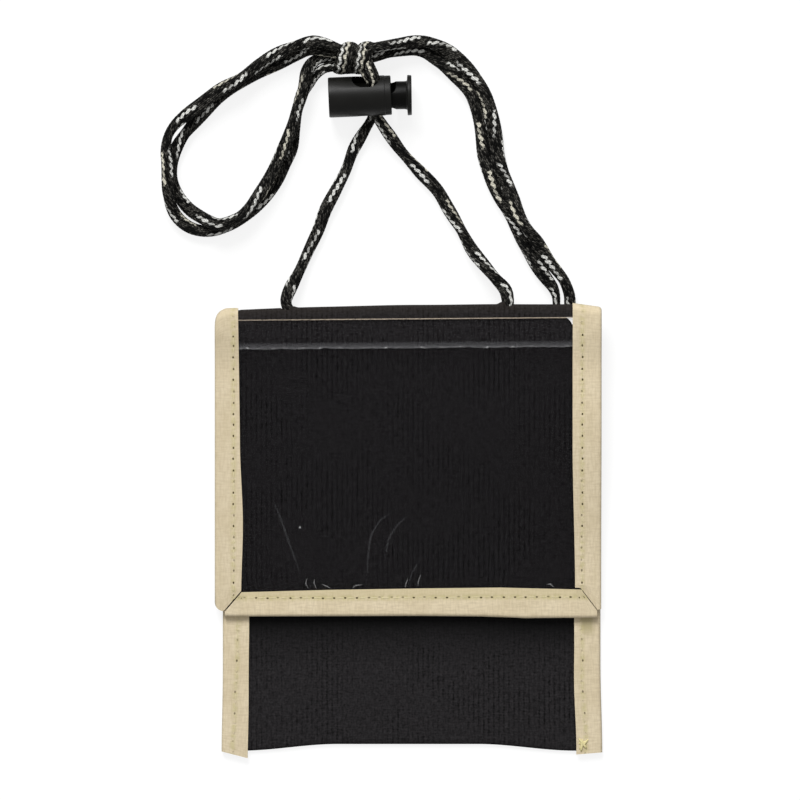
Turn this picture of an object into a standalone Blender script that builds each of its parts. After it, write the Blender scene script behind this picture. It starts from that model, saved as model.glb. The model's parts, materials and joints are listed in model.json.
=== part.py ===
"""Neck wallet lying on its back: pouch, hinged window flap, neck cord, knot and spring cord lock.

Metres, +Z up, +Y towards the top fold. The origin is the middle of the pouch, on the table.
The pouch's upper right lies on a hidden bight of its own cord, so its layers rise there.
"""

import math

import bmesh
import bpy
import numpy as np
from mathutils import Matrix, Vector

# Pouch and flap
FLAP_WIDTH = 0.127
POUCH_LENGTH = 0.149
FLAP_BOTTOM_FROM_TOP = 0.1025
BODY_INSET_LEFT = 0.0026
BODY_INSET_RIGHT = 0.0002
FABRIC = 0.0005
TAPE = 0.0004
TAPE_WIDTH = 0.0086
WINDOW_SHEET = 0.00025
PATCH = 0.0004
LAYER_GAP = 0.0001
BODY_GAP = 0.0003
CROWN_HEIGHT = 0.0012
JOGGLE_LENGTH = 0.0015
BOTTOM_BEND_INSIDE = 0.0005
BOTTOM_ARCH = 0.0022
BOTTOM_ARCH_FADE = 0.025
TAPE_END_SLANT_LEFT = 0.0022
TAPE_END_SLANT_RIGHT = 0.0007
TAPE_END_SHORT_RIGHT = 0.0012
TAPE_END_OVERHANG = 0.0024
CORNER_RADIUS = 0.003
HEM_DEPTH = 0.0084
HEM_STEP = 0.0003
MOUTH_FROM_TOP = 0.0095
FLAP_SLOPE_LENGTH = 0.009
PATCH_WIDTH = 0.05
PATCH_LENGTH = 0.016
PATCH_FROM_FLAP_BOTTOM = 0.0105

# Cord and the fold that it runs through
CORD = 0.0038
CHANNEL_CLEARANCE = 0.0002
SLIT_LENGTH = 0.0062
SLIT_LEFT_FROM_MIDDLE = 0.0394
SLIT_RIGHT_FROM_MIDDLE = 0.0322
LIFT_HEIGHT = 0.0052
LIFT_FULL_FROM_TOP = 0.034
LIFT_GONE_FROM_TOP = 0.090
CORD_END_GAP = 0.0003

# Knot
KNOT_CORD = 0.0028
KNOT_PITCH = 0.00325
KNOT_ACROSS = 0.0109
KNOT_TURNS = 2.3
KNOT_START_DEGREES = 216.0

# Cord lock, along its own axis from the closed end
BARREL_LENGTH = 0.0206
BARREL_DIAMETER = 0.0132
BARREL_WALL = 0.00185
BARREL_FLOOR = 0.0015
BARREL_EDGE = 0.0004
CORD_HOLE_WIDTH = 0.0097
CORD_HOLE_HEIGHT = 0.0072
CORD_HOLE_CORNER = 0.0024
CORD_HOLE_FROM_END = 0.0122
PLUNGER_CLEARANCE = 0.00015
PLUNGER_SHOWN = 0.0053
PLUNGER_INNER_END = 0.0062
PLUNGER_EDGE = 0.0003
FLANGE_THICKNESS = 0.0014
FLANGE_DIAMETER = 0.0133
FLANGE_EDGE = 0.0004
PLUNGER_HOLE_WIDTH = 0.0076
PLUNGER_HOLE_HEIGHT = 0.0074
PLUNGER_HOLE_CORNER = 0.0010
PLUNGER_HOLE_FROM_END = 0.0171
SPRING_POCKET_DIAMETER = 0.0060
SPRING_POCKET_WALL = 0.0012
SPRING_WIRE = 0.0006
SPRING_DIAMETER = 0.0049
SPRING_TURNS = 6
SPRING_END_GAP = 0.0002
LOCK_TURN_DEGREES = 2.3
LOCK_TILT_DEGREES = 26.0
CUT_OVERRUN = 0.004

# The photograph: its scale, and its point above the origin
PIXEL = 0.000329
ORIGIN_PIXEL = (408.0, 531.5)
LOCK_PIXEL = (360.0, 96.5)
KNOT_PIXEL = (351.2, 58.5)

# Cord routes: pixel across, pixel down, height in cord diameters, and thickness as a share of the cord
LEG_LEFT_ROUTE = (
    (302.5, 314.5, 1.11, 1), (296, 314.3, 1.09, 1), (290.7, 311.6, 1.07, 1), (287.2, 306.5, 1.05, 1),
    (286.3, 300, 1.0, 1), (290.3, 289, 0.85, 1), (300, 270, 0.62, 1), (309, 250, 0.53, 1),
    (318.3, 230, 0.52, 1), (325.6, 210, 0.52, 1), (336, 190, 0.52, 1), (346, 170, 0.53, 1),
    (353.5, 150, 0.53, 1), (363.5, 132.5, 0.52, 0.98), (370.5, 121.5, 0.47, 0.82), (374, 112.5, 0.6, 0.79),
    (374.1, 94.8, 1.28, 0.79), (373.5, 78, 1.93, 0.79), (371.3, 71.5, 1.98, 0.79),
)
LEG_RIGHT_ROUTE = (
    (492.5, 314.5, 1.75, 1), (499, 314.3, 1.78, 1), (504.2, 311.6, 1.79, 1), (507, 306.5, 1.79, 1),
    (507.5, 300, 1.75, 1), (505, 290, 1.62, 1), (496.5, 280, 1.42, 1), (488, 270, 1.2, 1),
    (472, 250, 0.8, 1), (461, 230, 0.58, 1), (449, 210, 0.52, 1), (437, 190, 0.52, 1),
    (418, 170, 0.53, 1), (401, 151, 0.57, 1), (389, 136, 0.82, 1), (380.8, 125.5, 1.16, 0.88),
    (375.8, 116, 1.37, 0.79), (374.2, 97.1, 2.1, 0.79), (373.4, 78, 2.84, 0.79), (373, 69, 2.86, 0.79),
)
LOOP_OUTER_ROUTE = (
    (333.5, 47, 1.98, 0.85), (326, 44.3, 2.0, 0.85), (314, 42.8, 1.9, 0.97), (300, 45.5, 1.55, 1),
    (280, 52.7, 1.5, 1), (260, 65, 1.58, 1), (240, 79.8, 1.62, 1), (220, 90.5, 1.6, 1),
    (200, 105.5, 1.55, 1), (186, 116, 1.5, 1), (175, 126, 1.5, 0.9), (168.5, 137, 1.55, 0.85),
    (166.5, 150, 1.62, 0.9), (168, 165, 1.64, 1), (168.6, 180, 1.64, 1), (168.8, 193, 1.5, 1),
    (171.5, 206, 1.15, 1), (178, 218, 0.72, 1), (189, 227, 0.54, 1), (202, 231, 0.52, 1),
    (214, 230.8, 0.52, 1), (226, 227, 0.52, 1), (236.5, 221.5, 0.52, 1), (257, 205.8, 0.52, 1),
    (273.3, 186.5, 0.52, 1), (284.3, 167.5, 0.52, 1), (291.2, 149, 0.52, 1), (294.2, 130, 0.52, 1),
    (297, 111, 0.52, 1), (303, 92, 0.52, 1), (309, 83, 0.56, 1), (315.5, 75, 0.7, 0.9),
    (324, 69, 0.95, 0.85), (333.5, 66.8, 1.08, 0.85),
)
LOOP_INNER_ROUTE = (
    (333.5, 54.5, 1.27, 0.85), (326, 53, 1.36, 0.85), (316, 50.5, 1.15, 0.93), (307, 50.5, 0.76, 1),
    (298, 54, 0.52, 1), (280, 63, 0.52, 1), (260, 72.3, 0.52, 1), (240, 83.7, 0.52, 1),
    (220, 97, 0.52, 1), (203, 113.5, 0.52, 1), (190, 128, 0.52, 1), (181, 140, 0.52, 1),
    (175, 152, 0.52, 1), (172.3, 165, 0.52, 1), (172.5, 178, 0.52, 1), (176, 190, 0.52, 1),
    (182.5, 201.5, 0.52, 1), (191, 210.5, 0.56, 1), (200, 216.5, 0.85, 1), (209, 221.5, 1.28, 1),
    (219, 224.8, 1.56, 1), (232, 221.3, 1.61, 1), (243.5, 214.4, 1.62, 1), (260.8, 193, 1.6, 1),
    (272.3, 172.5, 1.55, 1), (282, 152.3, 1.6, 1), (291, 131, 1.62, 1), (297, 111, 1.63, 1),
    (302.5, 95, 1.62, 1), (304.8, 84, 1.58, 1), (306.5, 74, 1.45, 1), (310.8, 65, 1.06, 0.92),
    (318, 59.5, 0.64, 0.85), (326, 58.3, 0.46, 0.85), (333.5, 59, 0.43, 0.85),
)
NECK_INNER_ROUTE = (
    (344, 58.5, 1.43, 1), (354, 58.5, 1.43, 1), (366, 58.3, 1.42, 1), (378, 55.8, 1.1, 1),
    (390, 52.5, 0.7, 1), (402, 50.5, 0.53, 1), (415, 49.6, 0.52, 1), (426, 52.3, 0.52, 1),
    (436, 59, 0.52, 1), (446, 68, 0.52, 1), (456, 77, 0.52, 1), (465, 85.5, 0.52, 1),
    (471, 94, 0.52, 1), (474.3, 104, 0.52, 1), (477, 115, 0.52, 1), (479.5, 128, 0.52, 1),
    (481.5, 142, 0.52, 1), (483, 156, 0.52, 1), (486.5, 168, 0.52, 1), (492.5, 184, 0.52, 1),
    (500.5, 200, 0.52, 1), (506.5, 210, 0.52, 1), (513, 220, 0.52, 1), (518, 231, 0.52, 1),
    (522, 241, 0.52, 1), (526.5, 250, 0.52, 1), (532, 260, 0.52, 1), (538.6, 270, 0.52, 1),
    (546.9, 279.5, 0.52, 1), (553.2, 288, 0.52, 1), (556.2, 297, 0.52, 1), (556.5, 309.5, 0.52, 1),
)
NECK_OUTER_ROUTE = (
    (368.5, 50, 2.2, 0.9), (377, 48.3, 2.15, 1), (388, 46.2, 1.95, 1), (400, 44.3, 1.75, 1),
    (415, 42.3, 1.6, 1), (430, 43.2, 1.35, 1), (445, 50, 0.95, 1), (460, 60.5, 0.62, 1),
    (470, 70.5, 0.53, 1), (479.5, 84, 0.52, 1), (486.3, 98, 0.52, 1), (491, 112, 0.52, 1),
    (494.3, 126, 0.52, 1), (496.8, 140, 0.52, 1), (499, 155, 0.52, 1), (503.5, 170, 0.54, 1),
    (508.5, 184, 0.72, 1), (513.6, 200, 1.25, 1), (516.7, 210, 1.55, 1), (521, 220, 1.62, 1),
    (527.5, 230, 1.55, 1), (535, 240, 1.2, 1), (542, 250, 0.8, 1), (549.3, 260, 0.57, 1),
    (557, 269.8, 0.52, 1), (563.4, 279.7, 0.52, 1), (567.5, 289, 0.52, 1), (569.5, 297, 0.52, 1),
    (569.8, 309.5, 0.52, 1),
)
BIGHT_ROUTE = (
    (556.5, 310.6, 0.52, 1), (555.5, 320, 0.52, 1), (550, 334, 0.52, 1), (541, 348, 0.52, 1),
    (534, 362, 0.52, 1), (532.5, 377, 0.52, 1), (539.5, 391, 0.52, 1), (555, 398, 0.52, 1),
    (571, 392, 0.52, 1), (578.5, 378, 0.52, 1), (579, 362, 0.52, 1), (576, 346, 0.52, 1),
    (572, 330, 0.52, 1), (570, 319, 0.52, 1), (569.8, 310.6, 0.52, 1),
)

# Fineness of the facets
ROW_STEP = 0.0125
WARP_ROW_STEP = 0.0056
CORD_POINT_STEP = 0.0068
BEVEL_RESOLUTION = 2
TURNED_SIDES = 32

# Places that follow from the sizes above
left = -FLAP_WIDTH / 2
right = FLAP_WIDTH / 2
top = POUCH_LENGTH / 2
body_left = left + BODY_INSET_LEFT
body_right = right - BODY_INSET_RIGHT
flap_bottom = top - FLAP_BOTTOM_FROM_TOP
panel_bottom = -POUCH_LENGTH / 2 + TAPE_END_OVERHANG
mouth = top - MOUTH_FROM_TOP

channel_radius = CORD / 2 + CHANNEL_CLEARANCE
roll_radius = channel_radius + FABRIC
cap_inside = roll_radius + LAYER_GAP
cap_radius = cap_inside + TAPE
fold_y = top - cap_radius
fold_z = cap_radius

back_edge_z = TAPE + LAYER_GAP
front_z = back_edge_z + FABRIC + LAYER_GAP
body_tape_z = front_z + FABRIC + LAYER_GAP
flap_tape_low_z = body_tape_z + TAPE + BODY_GAP
flap_panel_z = flap_tape_low_z + TAPE + LAYER_GAP
window_z = flap_panel_z + FABRIC + LAYER_GAP
flap_tape_z = window_z + WINDOW_SHEET + LAYER_GAP
flap_top_z = flap_tape_z + TAPE
hinge_rise = 2 * cap_radius - flap_top_z
flap_foot_above_fold = flap_tape_low_z + hinge_rise - fold_z
hinge_y = fold_y - math.sqrt((cap_radius + BODY_GAP) ** 2 - flap_foot_above_fold**2)
edge_inset = TAPE + LAYER_GAP

slit_left = -SLIT_LEFT_FROM_MIDDLE
slit_right = SLIT_RIGHT_FROM_MIDDLE


def smooth(share):
    """0 below 0, 1 above 1, and an even S between them."""
    share = min(max(share, 0.0), 1.0)
    return share * share * (3 - 2 * share)


def lift(x, y):
    """How far the layers are raised by the bight of cord under the pouch's upper right."""
    across = (x - left) / FLAP_WIDTH
    along = smooth((y - top + LIFT_GONE_FROM_TOP) / (LIFT_GONE_FROM_TOP - LIFT_FULL_FROM_TOP))
    return LIFT_HEIGHT * across * along


def crown(x, y):
    """The pocket's slight swell, which the flap follows."""
    across = 1 - (2 * x / FLAP_WIDTH) ** 2
    along = 1 - (2 * y / POUCH_LENGTH) ** 2
    return CROWN_HEIGHT * max(across, 0) * max(along, 0)


def flap_rise(y):
    """The flap climbs to the top of the roll over its last stretch."""
    return hinge_rise * smooth((y - hinge_y + FLAP_SLOPE_LENGTH) / FLAP_SLOPE_LENGTH)


def widened(y):
    """How far along the flare from the body's width to the fold's width."""
    return smooth((y - mouth) / (fold_y - mouth))


def arch(x):
    """The bottom edge is drawn up a little between the tapes."""
    side = TAPE_WIDTH + FLAP_WIDTH / 4
    return BOTTOM_ARCH * smooth((x - left - TAPE_WIDTH) / (side - TAPE_WIDTH)) * smooth(
        (right - TAPE_WIDTH - x) / (side - TAPE_WIDTH)
    )


def from_photo(across, down, height):
    """The point at this pixel, this many cord diameters above the table."""
    return Vector(
        ((across - ORIGIN_PIXEL[0]) * PIXEL, (ORIGIN_PIXEL[1] - down) * PIXEL, height * CORD)
    )


def material(name, colour, roughness, metallic=0.0, alpha=1.0):
    made = bpy.data.materials.new(name)
    made.use_nodes = True
    shader = made.node_tree.nodes["Principled BSDF"]
    shader.inputs["Base Color"].default_value = (*colour, 1)
    shader.inputs["Roughness"].default_value = roughness
    shader.inputs["Metallic"].default_value = metallic
    shader.inputs["Alpha"].default_value = alpha
    return made


BLACK_FABRIC = ("black_fabric", (0.013, 0.012, 0.013), 0.85)
TAN_TAPE = ("tan_binding", (0.66, 0.56, 0.38), 0.8)
CLEAR = ("clear_vinyl", (0.9, 0.9, 0.88), 0.12, 0.0, 0.3)
CORD_YARN = ("cord", (0.015, 0.015, 0.015), 0.8)
PLASTIC = ("lock_plastic", (0.03, 0.029, 0.026), 0.5)
STEEL = ("spring_steel", (0.6, 0.6, 0.6), 0.3, 1.0)
HOOK_LOOP = ("hook_loop", (0.016, 0.016, 0.016), 0.9)


def finish(name, data, look, parent=None):
    """An object of this mesh or curve, with its own material."""
    data.materials.append(material(name + "_" + look[0], *look[1:]))
    made = bpy.data.objects.new(name, data)
    bpy.context.scene.collection.objects.link(made)
    if parent:
        made.parent = parent
    return made


def mesh_of(name, build):
    mesh = bpy.data.meshes.new(name)
    bmesh.ops.recalc_face_normals(build, faces=build.faces)
    if build.calc_volume(signed=True) < 0:
        bmesh.ops.reverse_faces(build, faces=build.faces)
    build.to_mesh(mesh)
    build.free()
    return mesh


def smooth_shading(mesh, degrees=35):
    mesh.shade_smooth()
    mesh.set_sharp_from_angle(angle=math.radians(degrees))


def empty_at(name, place, turn=None):
    made = bpy.data.objects.new(name, None)
    made.matrix_world = Matrix.Translation(place) @ (turn or Matrix.Identity(4))
    bpy.context.scene.collection.objects.link(made)
    return made


def grid_solid(name, lower, upper, look, open_cells=(), parent=None):
    """A closed solid between two grids of points, with no solid at the open cells."""
    build = bmesh.new()
    origin = parent.matrix_world.translation if parent else Vector()
    rows, columns = len(lower), len(lower[0])
    points = {}

    def point(side, row, column):
        key = (side, row, column)
        if key not in points:
            points[key] = build.verts.new(Vector((lower, upper)[side][row][column]) - origin)
        return points[key]

    cells = {(r, c) for r in range(rows - 1) for c in range(columns - 1)} - set(open_cells)
    for row, column in sorted(cells):
        corners = [(row, column), (row, column + 1), (row + 1, column + 1), (row + 1, column)]
        beyond = [(row - 1, column), (row, column + 1), (row + 1, column), (row, column - 1)]
        build.faces.new([point(1, *corner) for corner in corners])
        build.faces.new([point(0, *corner) for corner in reversed(corners)])
        for k in range(len(corners)):
            if beyond[k] not in cells:
                near, far = corners[k], corners[(k + 1) % len(corners)]
                build.faces.new([point(1, *far), point(1, *near), point(0, *near), point(0, *far)])
    mesh = mesh_of(name, build)
    smooth_shading(mesh)
    return finish(name, mesh, look, parent)


def lofted(name, rings, look, parent=None, tail=None):
    """A solid skinned over rings of points. A tail goes on from some of the last ring's points."""
    build = bmesh.new()
    origin = parent.matrix_world.translation if parent else Vector()

    def ring_of(points):
        return [build.verts.new(Vector(point) - origin) for point in points]

    def skin(first, second):
        for k in range(len(first)):
            after = (k + 1) % len(first)
            build.faces.new([first[k], first[after], second[after], second[k]])

    made = [ring_of(ring) for ring in rings]
    for first, second in zip(made, made[1:]):
        skin(first, second)
    build.faces.new(made[0])
    if tail:
        picked, rest, tail_rings = tail
        build.faces.new([made[-1][k] for k in rest])
        made.append([made[-1][k] for k in picked])
        for ring in tail_rings:
            made.append(ring_of(ring))
            skin(made[-2], made[-1])
    build.faces.new(made[-1])
    mesh = mesh_of(name, build)
    smooth_shading(mesh)
    return finish(name, mesh, look, parent)


def spread(low, high, step):
    """Even places from low up to high, about a step apart, without high."""
    count = max(1, round((high - low) / step))
    return [low + (high - low) * k / count for k in range(count)]


def rows_between(low, high):
    """The rows that every layer shares, so that layers bend alike, cut to this stretch."""
    lift_gone, lift_full = top - LIFT_GONE_FROM_TOP, top - LIFT_FULL_FROM_TOP
    shared = spread(panel_bottom + BOTTOM_ARCH_FADE, lift_gone, ROW_STEP)
    shared += spread(lift_gone, lift_full, WARP_ROW_STEP)
    shared += spread(lift_full, hinge_y - FLAP_SLOPE_LENGTH, ROW_STEP)
    shared += spread(hinge_y - FLAP_SLOPE_LENGTH, hinge_y, FLAP_SLOPE_LENGTH / 5)
    return [low] + [y for y in shared if low + TAPE < y < high - TAPE] + [high]


def columns_between(low, high, more=()):
    """The columns across a panel: its edges, the tapes' inner edges, and even ones between."""
    inner_low, inner_high = low + TAPE_WIDTH, high - TAPE_WIDTH
    count = 8
    even = [inner_low + (inner_high - inner_low) * k / count for k in range(count + 1)]
    close = JOGGLE_LENGTH + TAPE
    even = [x for x in even if all(abs(x - other) > close for other in more) or x in (inner_low, inner_high)]
    return sorted([low + edge_inset, *even, *more, high - edge_inset])


def side_share(x):
    """1 where a side tape lies under the panel, 0 clear of it."""
    inside = min(x - body_left, body_right - x) - TAPE_WIDTH - LAYER_GAP
    return 1 - min(max(inside / JOGGLE_LENGTH, 0), 1)


def near_bottom(x, y):
    """The row's place once the arch of the bottom edge has drawn it up."""
    fade = 1 - smooth((y - panel_bottom) / BOTTOM_ARCH_FADE)
    return y + arch(x) * fade


def back_panel():
    """The back panel and, in one piece with it, the roll that makes the cord's channel."""
    joggles = [body_left + TAPE_WIDTH + LAYER_GAP + JOGGLE_LENGTH]
    joggles.append(body_right - TAPE_WIDTH - LAYER_GAP - JOGGLE_LENGTH)
    slits = [slit + side * SLIT_LENGTH / 2 for slit in (slit_left, slit_right) for side in (-1, 1)]
    columns = columns_between(body_left, body_right, joggles + slits)
    first_row = panel_bottom + FABRIC + BOTTOM_BEND_INSIDE + LAYER_GAP
    rows = rows_between(first_row, fold_y)
    turns = [math.radians(-90 + 16.5 * k) for k in range(1, 21)]
    slit_turns = [k for k, turn in enumerate(turns) if abs(turn) < math.radians(76)]

    def across(x, y):
        flare = widened(y)
        if x < body_left + TAPE_WIDTH:
            return x - BODY_INSET_LEFT * flare
        if x > body_right - TAPE_WIDTH:
            return x + BODY_INSET_RIGHT * flare
        return x

    lower, upper = [], []
    for y in rows:
        low_row, high_row = [], []
        for x in columns:
            rise = 1 - (1 - side_share(x)) * (1 - smooth((y - mouth + TAPE_WIDTH) / TAPE_WIDTH))
            place_x, place_y = across(x, y), near_bottom(x, y)
            z = back_edge_z * rise + lift(place_x, y)
            low_row.append((place_x, place_y, z))
            high_row.append((place_x, place_y, z + FABRIC))
        lower.append(low_row)
        upper.append(high_row)
    for turn in turns:
        for grid, radius in ((lower, roll_radius), (upper, channel_radius)):
            y, z = fold_y + radius * math.cos(turn), fold_z + radius * math.sin(turn)
            grid.append([(across(x, fold_y), y, z + lift(across(x, fold_y), fold_y)) for x in columns])
    first_turn = len(rows)
    open_cells = [
        (first_turn + k, column)
        for slit in (0, 2)
        for column in range(columns.index(slits[slit]), columns.index(slits[slit + 1]))
        for k in slit_turns[:-1]
    ]
    grid_solid("back_panel", lower, upper, BLACK_FABRIC, open_cells)


def front_pocket_panel():
    """The front of the pocket. Its bottom edge turns down in front of the back panel."""
    columns = columns_between(body_left, body_right)
    bend_y = panel_bottom + FABRIC + BOTTOM_BEND_INSIDE
    bend_z = front_z - BOTTOM_BEND_INSIDE
    lower = [[(x, panel_bottom + FABRIC + arch(x), back_edge_z * side_share(x)) for x in columns]]
    upper = [[(x, panel_bottom + arch(x), back_edge_z * side_share(x)) for x in columns]]
    for degrees in (180, 150, 120):
        turn = math.radians(degrees)
        for grid, radius in ((lower, BOTTOM_BEND_INSIDE), (upper, BOTTOM_BEND_INSIDE + FABRIC)):
            y, z = bend_y + radius * math.cos(turn), bend_z + radius * math.sin(turn)
            grid.append([(x, y + arch(x), z) for x in columns])
    for y in rows_between(bend_y, mouth):
        heights = [front_z + lift(x, y) + crown(x, y) for x in columns]
        lower.append([(x, near_bottom(x, y), z) for x, z in zip(columns, heights)])
        upper.append([(x, near_bottom(x, y), z + FABRIC) for x, z in zip(columns, heights)])
    grid_solid("front_pocket_panel", lower, upper, BLACK_FABRIC)


def body_binding(name, edge, inward, slant, short):
    """A tape folded round the pouch's side, whose lower leg goes on as a cap round the roll's end."""
    web = [(0, 0), (TAPE_WIDTH, 0), (TAPE_WIDTH, TAPE), (TAPE, TAPE), (TAPE, body_tape_z)]
    web += [(TAPE_WIDTH, body_tape_z), (TAPE_WIDTH, body_tape_z + TAPE), (0, body_tape_z + TAPE), (0, TAPE)]
    inset = BODY_INSET_LEFT if inward > 0 else BODY_INSET_RIGHT
    end = -POUCH_LENGTH / 2 + short

    def ring_at(y):
        ring = []
        for depth, z in web:
            x = edge + inward * depth
            place = y if y > end else end + slant * (1 - depth / TAPE_WIDTH)
            swell = crown(x, y) if z > front_z else 0
            ring.append((x, place, z + lift(x, y) + swell))
        return ring

    def strip_at(y, z_out, z_in, y_in, flare):
        outer_x, inner_x = edge - inward * inset * flare, edge + inward * TAPE_WIDTH
        web_x = outer_x + inward * TAPE
        low = [(outer_x, y, z_out), (inner_x, y, z_out)]
        high = [(inner_x, y_in, z_in), (web_x, y_in, z_in), (outer_x, y_in, z_in)]
        return [(px, py, pz + lift(px, fold_y)) for px, py, pz in low + high]

    rings = [ring_at(y) for y in [end] + rows_between(panel_bottom + TAPE_WIDTH, mouth)]
    tail = [strip_at(y, 0, TAPE, y, widened(y)) for y in ((mouth + fold_y) / 2, fold_y)]
    for k in range(1, 17):
        turn = math.radians(-90 + 17.5 * k)
        y_out, z_out = fold_y + cap_radius * math.cos(turn), fold_z + cap_radius * math.sin(turn)
        y_in, z_in = fold_y + cap_inside * math.cos(turn), fold_z + cap_inside * math.sin(turn)
        tail.append(strip_at(y_out, z_out, z_in, y_in, 1))
    lofted(name, rings, TAN_TAPE, tail=((0, 1, 2, 3, 8), (8, 3, 4, 5, 6, 7), tail))


def corner_along(depth):
    """How far along an edge a mitred tape starts, at this depth from it, at a rounded corner."""
    if depth >= CORNER_RADIUS:
        return depth
    rest = CORNER_RADIUS - depth
    return max(depth, CORNER_RADIUS - math.sqrt(CORNER_RADIUS**2 - rest**2))


def flap_tape_profile():
    """Depth from the edge and height of a tape folded round the flap's layers."""
    meets = CORNER_RADIUS * (1 - math.sqrt(0.5))
    leg = [TAPE / 4, TAPE, meets, TAPE_WIDTH]
    low = [(0, flap_tape_low_z)] + [(depth, flap_tape_low_z) for depth in leg]
    inside_low = [(depth, flap_tape_low_z + TAPE) for depth in (TAPE_WIDTH, meets, TAPE)]
    inside_high = [(depth, flap_tape_z) for depth in (TAPE, meets, TAPE_WIDTH)]
    high = [(depth, flap_top_z) for depth in reversed(leg)] + [(0, flap_top_z)]
    return low + inside_low + inside_high + high


def flap_height(x, y, z):
    return z + lift(x, y) + crown(x, y) + flap_rise(y)


def flap_binding_side(name, edge, inward, hinge):
    rings = []
    corner = flap_bottom + TAPE_WIDTH + LAYER_GAP
    for y in [flap_bottom] + rows_between(corner, hinge_y):
        ring = []
        for depth, z in flap_tape_profile():
            x = edge + inward * depth
            place = y if y > flap_bottom else flap_bottom + corner_along(depth) + LAYER_GAP
            ring.append((x, place, flap_height(x, place, z)))
        rings.append(ring)
    lofted(name, rings, TAN_TAPE, hinge)


def flap_binding_bottom(hinge):
    inner = columns_between(left, right)[1:-1]
    rings = []
    for k, x in enumerate([left, *inner, right]):
        ring = []
        for depth, z in flap_tape_profile():
            y = flap_bottom + depth
            place = x
            if x == left:
                place = left + corner_along(depth) + LAYER_GAP
            elif x == right:
                place = right - corner_along(depth) - LAYER_GAP
            elif k in (1, len(inner)):
                place = x + (LAYER_GAP if k == 1 else -LAYER_GAP) * 2
            ring.append((place, y, flap_height(place, y, z)))
        rings.append(ring)
    lofted("flap_binding_bottom", rings, TAN_TAPE, hinge)


def flap_layer(name, z, thickness, look, hinge, more=(), hem=None):
    """A flat layer of the flap inside its tapes, its lower corners drawn in under their curve."""
    columns = columns_between(left, right, more)
    extra_rows = [hinge_y - HEM_DEPTH, hinge_y - HEM_DEPTH + HEM_STEP] if hem else []
    rows = sorted(rows_between(flap_bottom + edge_inset, hinge_y) + extra_rows)
    lower, upper = [], []
    for y in rows:
        low_row, high_row = [], []
        for x in columns:
            at_corner = y == rows[0] and x in (columns[0], columns[-1])
            drawn_in = CORNER_RADIUS / 4 if at_corner else 0
            place_x, place_y = x - math.copysign(drawn_in, x), y + drawn_in
            height = flap_height(place_x, place_y, z)
            low_row.append((place_x, place_y, height))
            high_row.append((place_x, place_y, height + thickness + (hem(x, y) if hem else 0)))
        lower.append(low_row)
        upper.append(high_row)
    grid_solid(name, lower, upper, look, parent=hinge)


def window_sheet(hinge):
    """The clear sheet. Its open top edge is folded back on itself as a hem, between the tapes."""
    ends = [left + TAPE_WIDTH + LAYER_GAP * 2 + HEM_STEP, right - TAPE_WIDTH - LAYER_GAP * 2 - HEM_STEP]

    def hem(x, y):
        across = min(x - ends[0], ends[1] - x) >= 0
        return WINDOW_SHEET if across and y >= hinge_y - HEM_DEPTH + HEM_STEP else 0

    flap_layer("window_sheet", window_z, WINDOW_SHEET, CLEAR, hinge, ends, hem)


def patch(name, z, height_at, hinge=None):
    """One half of the flap's touch closure."""
    low = flap_bottom + PATCH_FROM_FLAP_BOTTOM
    rows = rows_between(low, low + PATCH_LENGTH)
    columns = [PATCH_WIDTH * (k / 4 - 0.5) for k in range(5)]
    lower = [[(x, y, height_at(x, y, z)) for x in columns] for y in rows]
    upper = [[(x, y, height_at(x, y, z) + PATCH) for x in columns] for y in rows]
    grid_solid(name, lower, upper, HOOK_LOOP, parent=hinge)


def smooth_points(route, step=CORD_POINT_STEP):
    """Points about a step apart on a smooth curve through the route, with the thickness at each."""
    places = [from_photo(*stop[:3]) for stop in route]
    shares = [stop[3] for stop in route]
    before = [places[0] * 2 - places[1]] + places[:-1]
    after = places[1:] + [places[-1] * 2 - places[-2]]
    points = []
    for k in range(len(places) - 1):
        start, end = places[k], places[k + 1]
        reach = (end - start).length
        pull_out = (end - before[k]).normalized() * reach
        pull_in = (after[k + 1] - start).normalized() * reach
        count = max(1, round(reach / step))
        for n in range(count):
            t = n / count
            point = (
                start * (2 * t**3 - 3 * t**2 + 1)
                + pull_out * (t**3 - 2 * t**2 + t)
                + end * (3 * t**2 - 2 * t**3)
                + pull_in * (t**3 - t**2)
            )
            points.append((point, shares[k] + (shares[k + 1] - shares[k]) * t))
    points.append((places[-1], shares[-1]))
    return points


def tube(name, points, diameter, look=CORD_YARN, parent=None):
    """A round cord or wire through these points, each with its share of the thickness."""
    curve = bpy.data.curves.new(name, "CURVE")
    curve.dimensions = "3D"
    curve.bevel_depth = diameter / 2
    curve.bevel_resolution = BEVEL_RESOLUTION
    curve.use_fill_caps = True
    curve.twist_mode = "MINIMUM"
    spline = curve.splines.new("POLY")
    spline.points.add(len(points) - 1)
    for knot, (point, share) in zip(spline.points, points):
        knot.co = (*point, 1)
        knot.radius = share
    return finish(name, curve, look, parent)


def fold_run():
    """The cord's stretch inside the fold, between the ends of its two legs."""
    low = from_photo(*LEG_LEFT_ROUTE[0][:3]).x + CORD_END_GAP
    high = from_photo(*LEG_RIGHT_ROUTE[0][:3]).x - CORD_END_GAP
    stops = [low + (high - low) * k / 8 for k in range(9)]
    tube("cord_fold_run", [((x, fold_y, fold_z + lift(x, fold_y)), 1) for x in stops], CORD)


def coil_points(radius, pitch, turns, start_degrees, per_turn, centre):
    """Points of a coil about an axis along X, its middle at the centre."""
    count = round(turns * per_turn)
    length = pitch * turns
    points = []
    for k in range(count + 1):
        turned = turns * k / count
        angle = math.radians(start_degrees) - math.tau * turned
        along = pitch * turned - length / 2
        side = Vector((along, radius * math.cos(angle), radius * math.sin(angle)))
        points.append(Vector(centre) + side)
    return points


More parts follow.
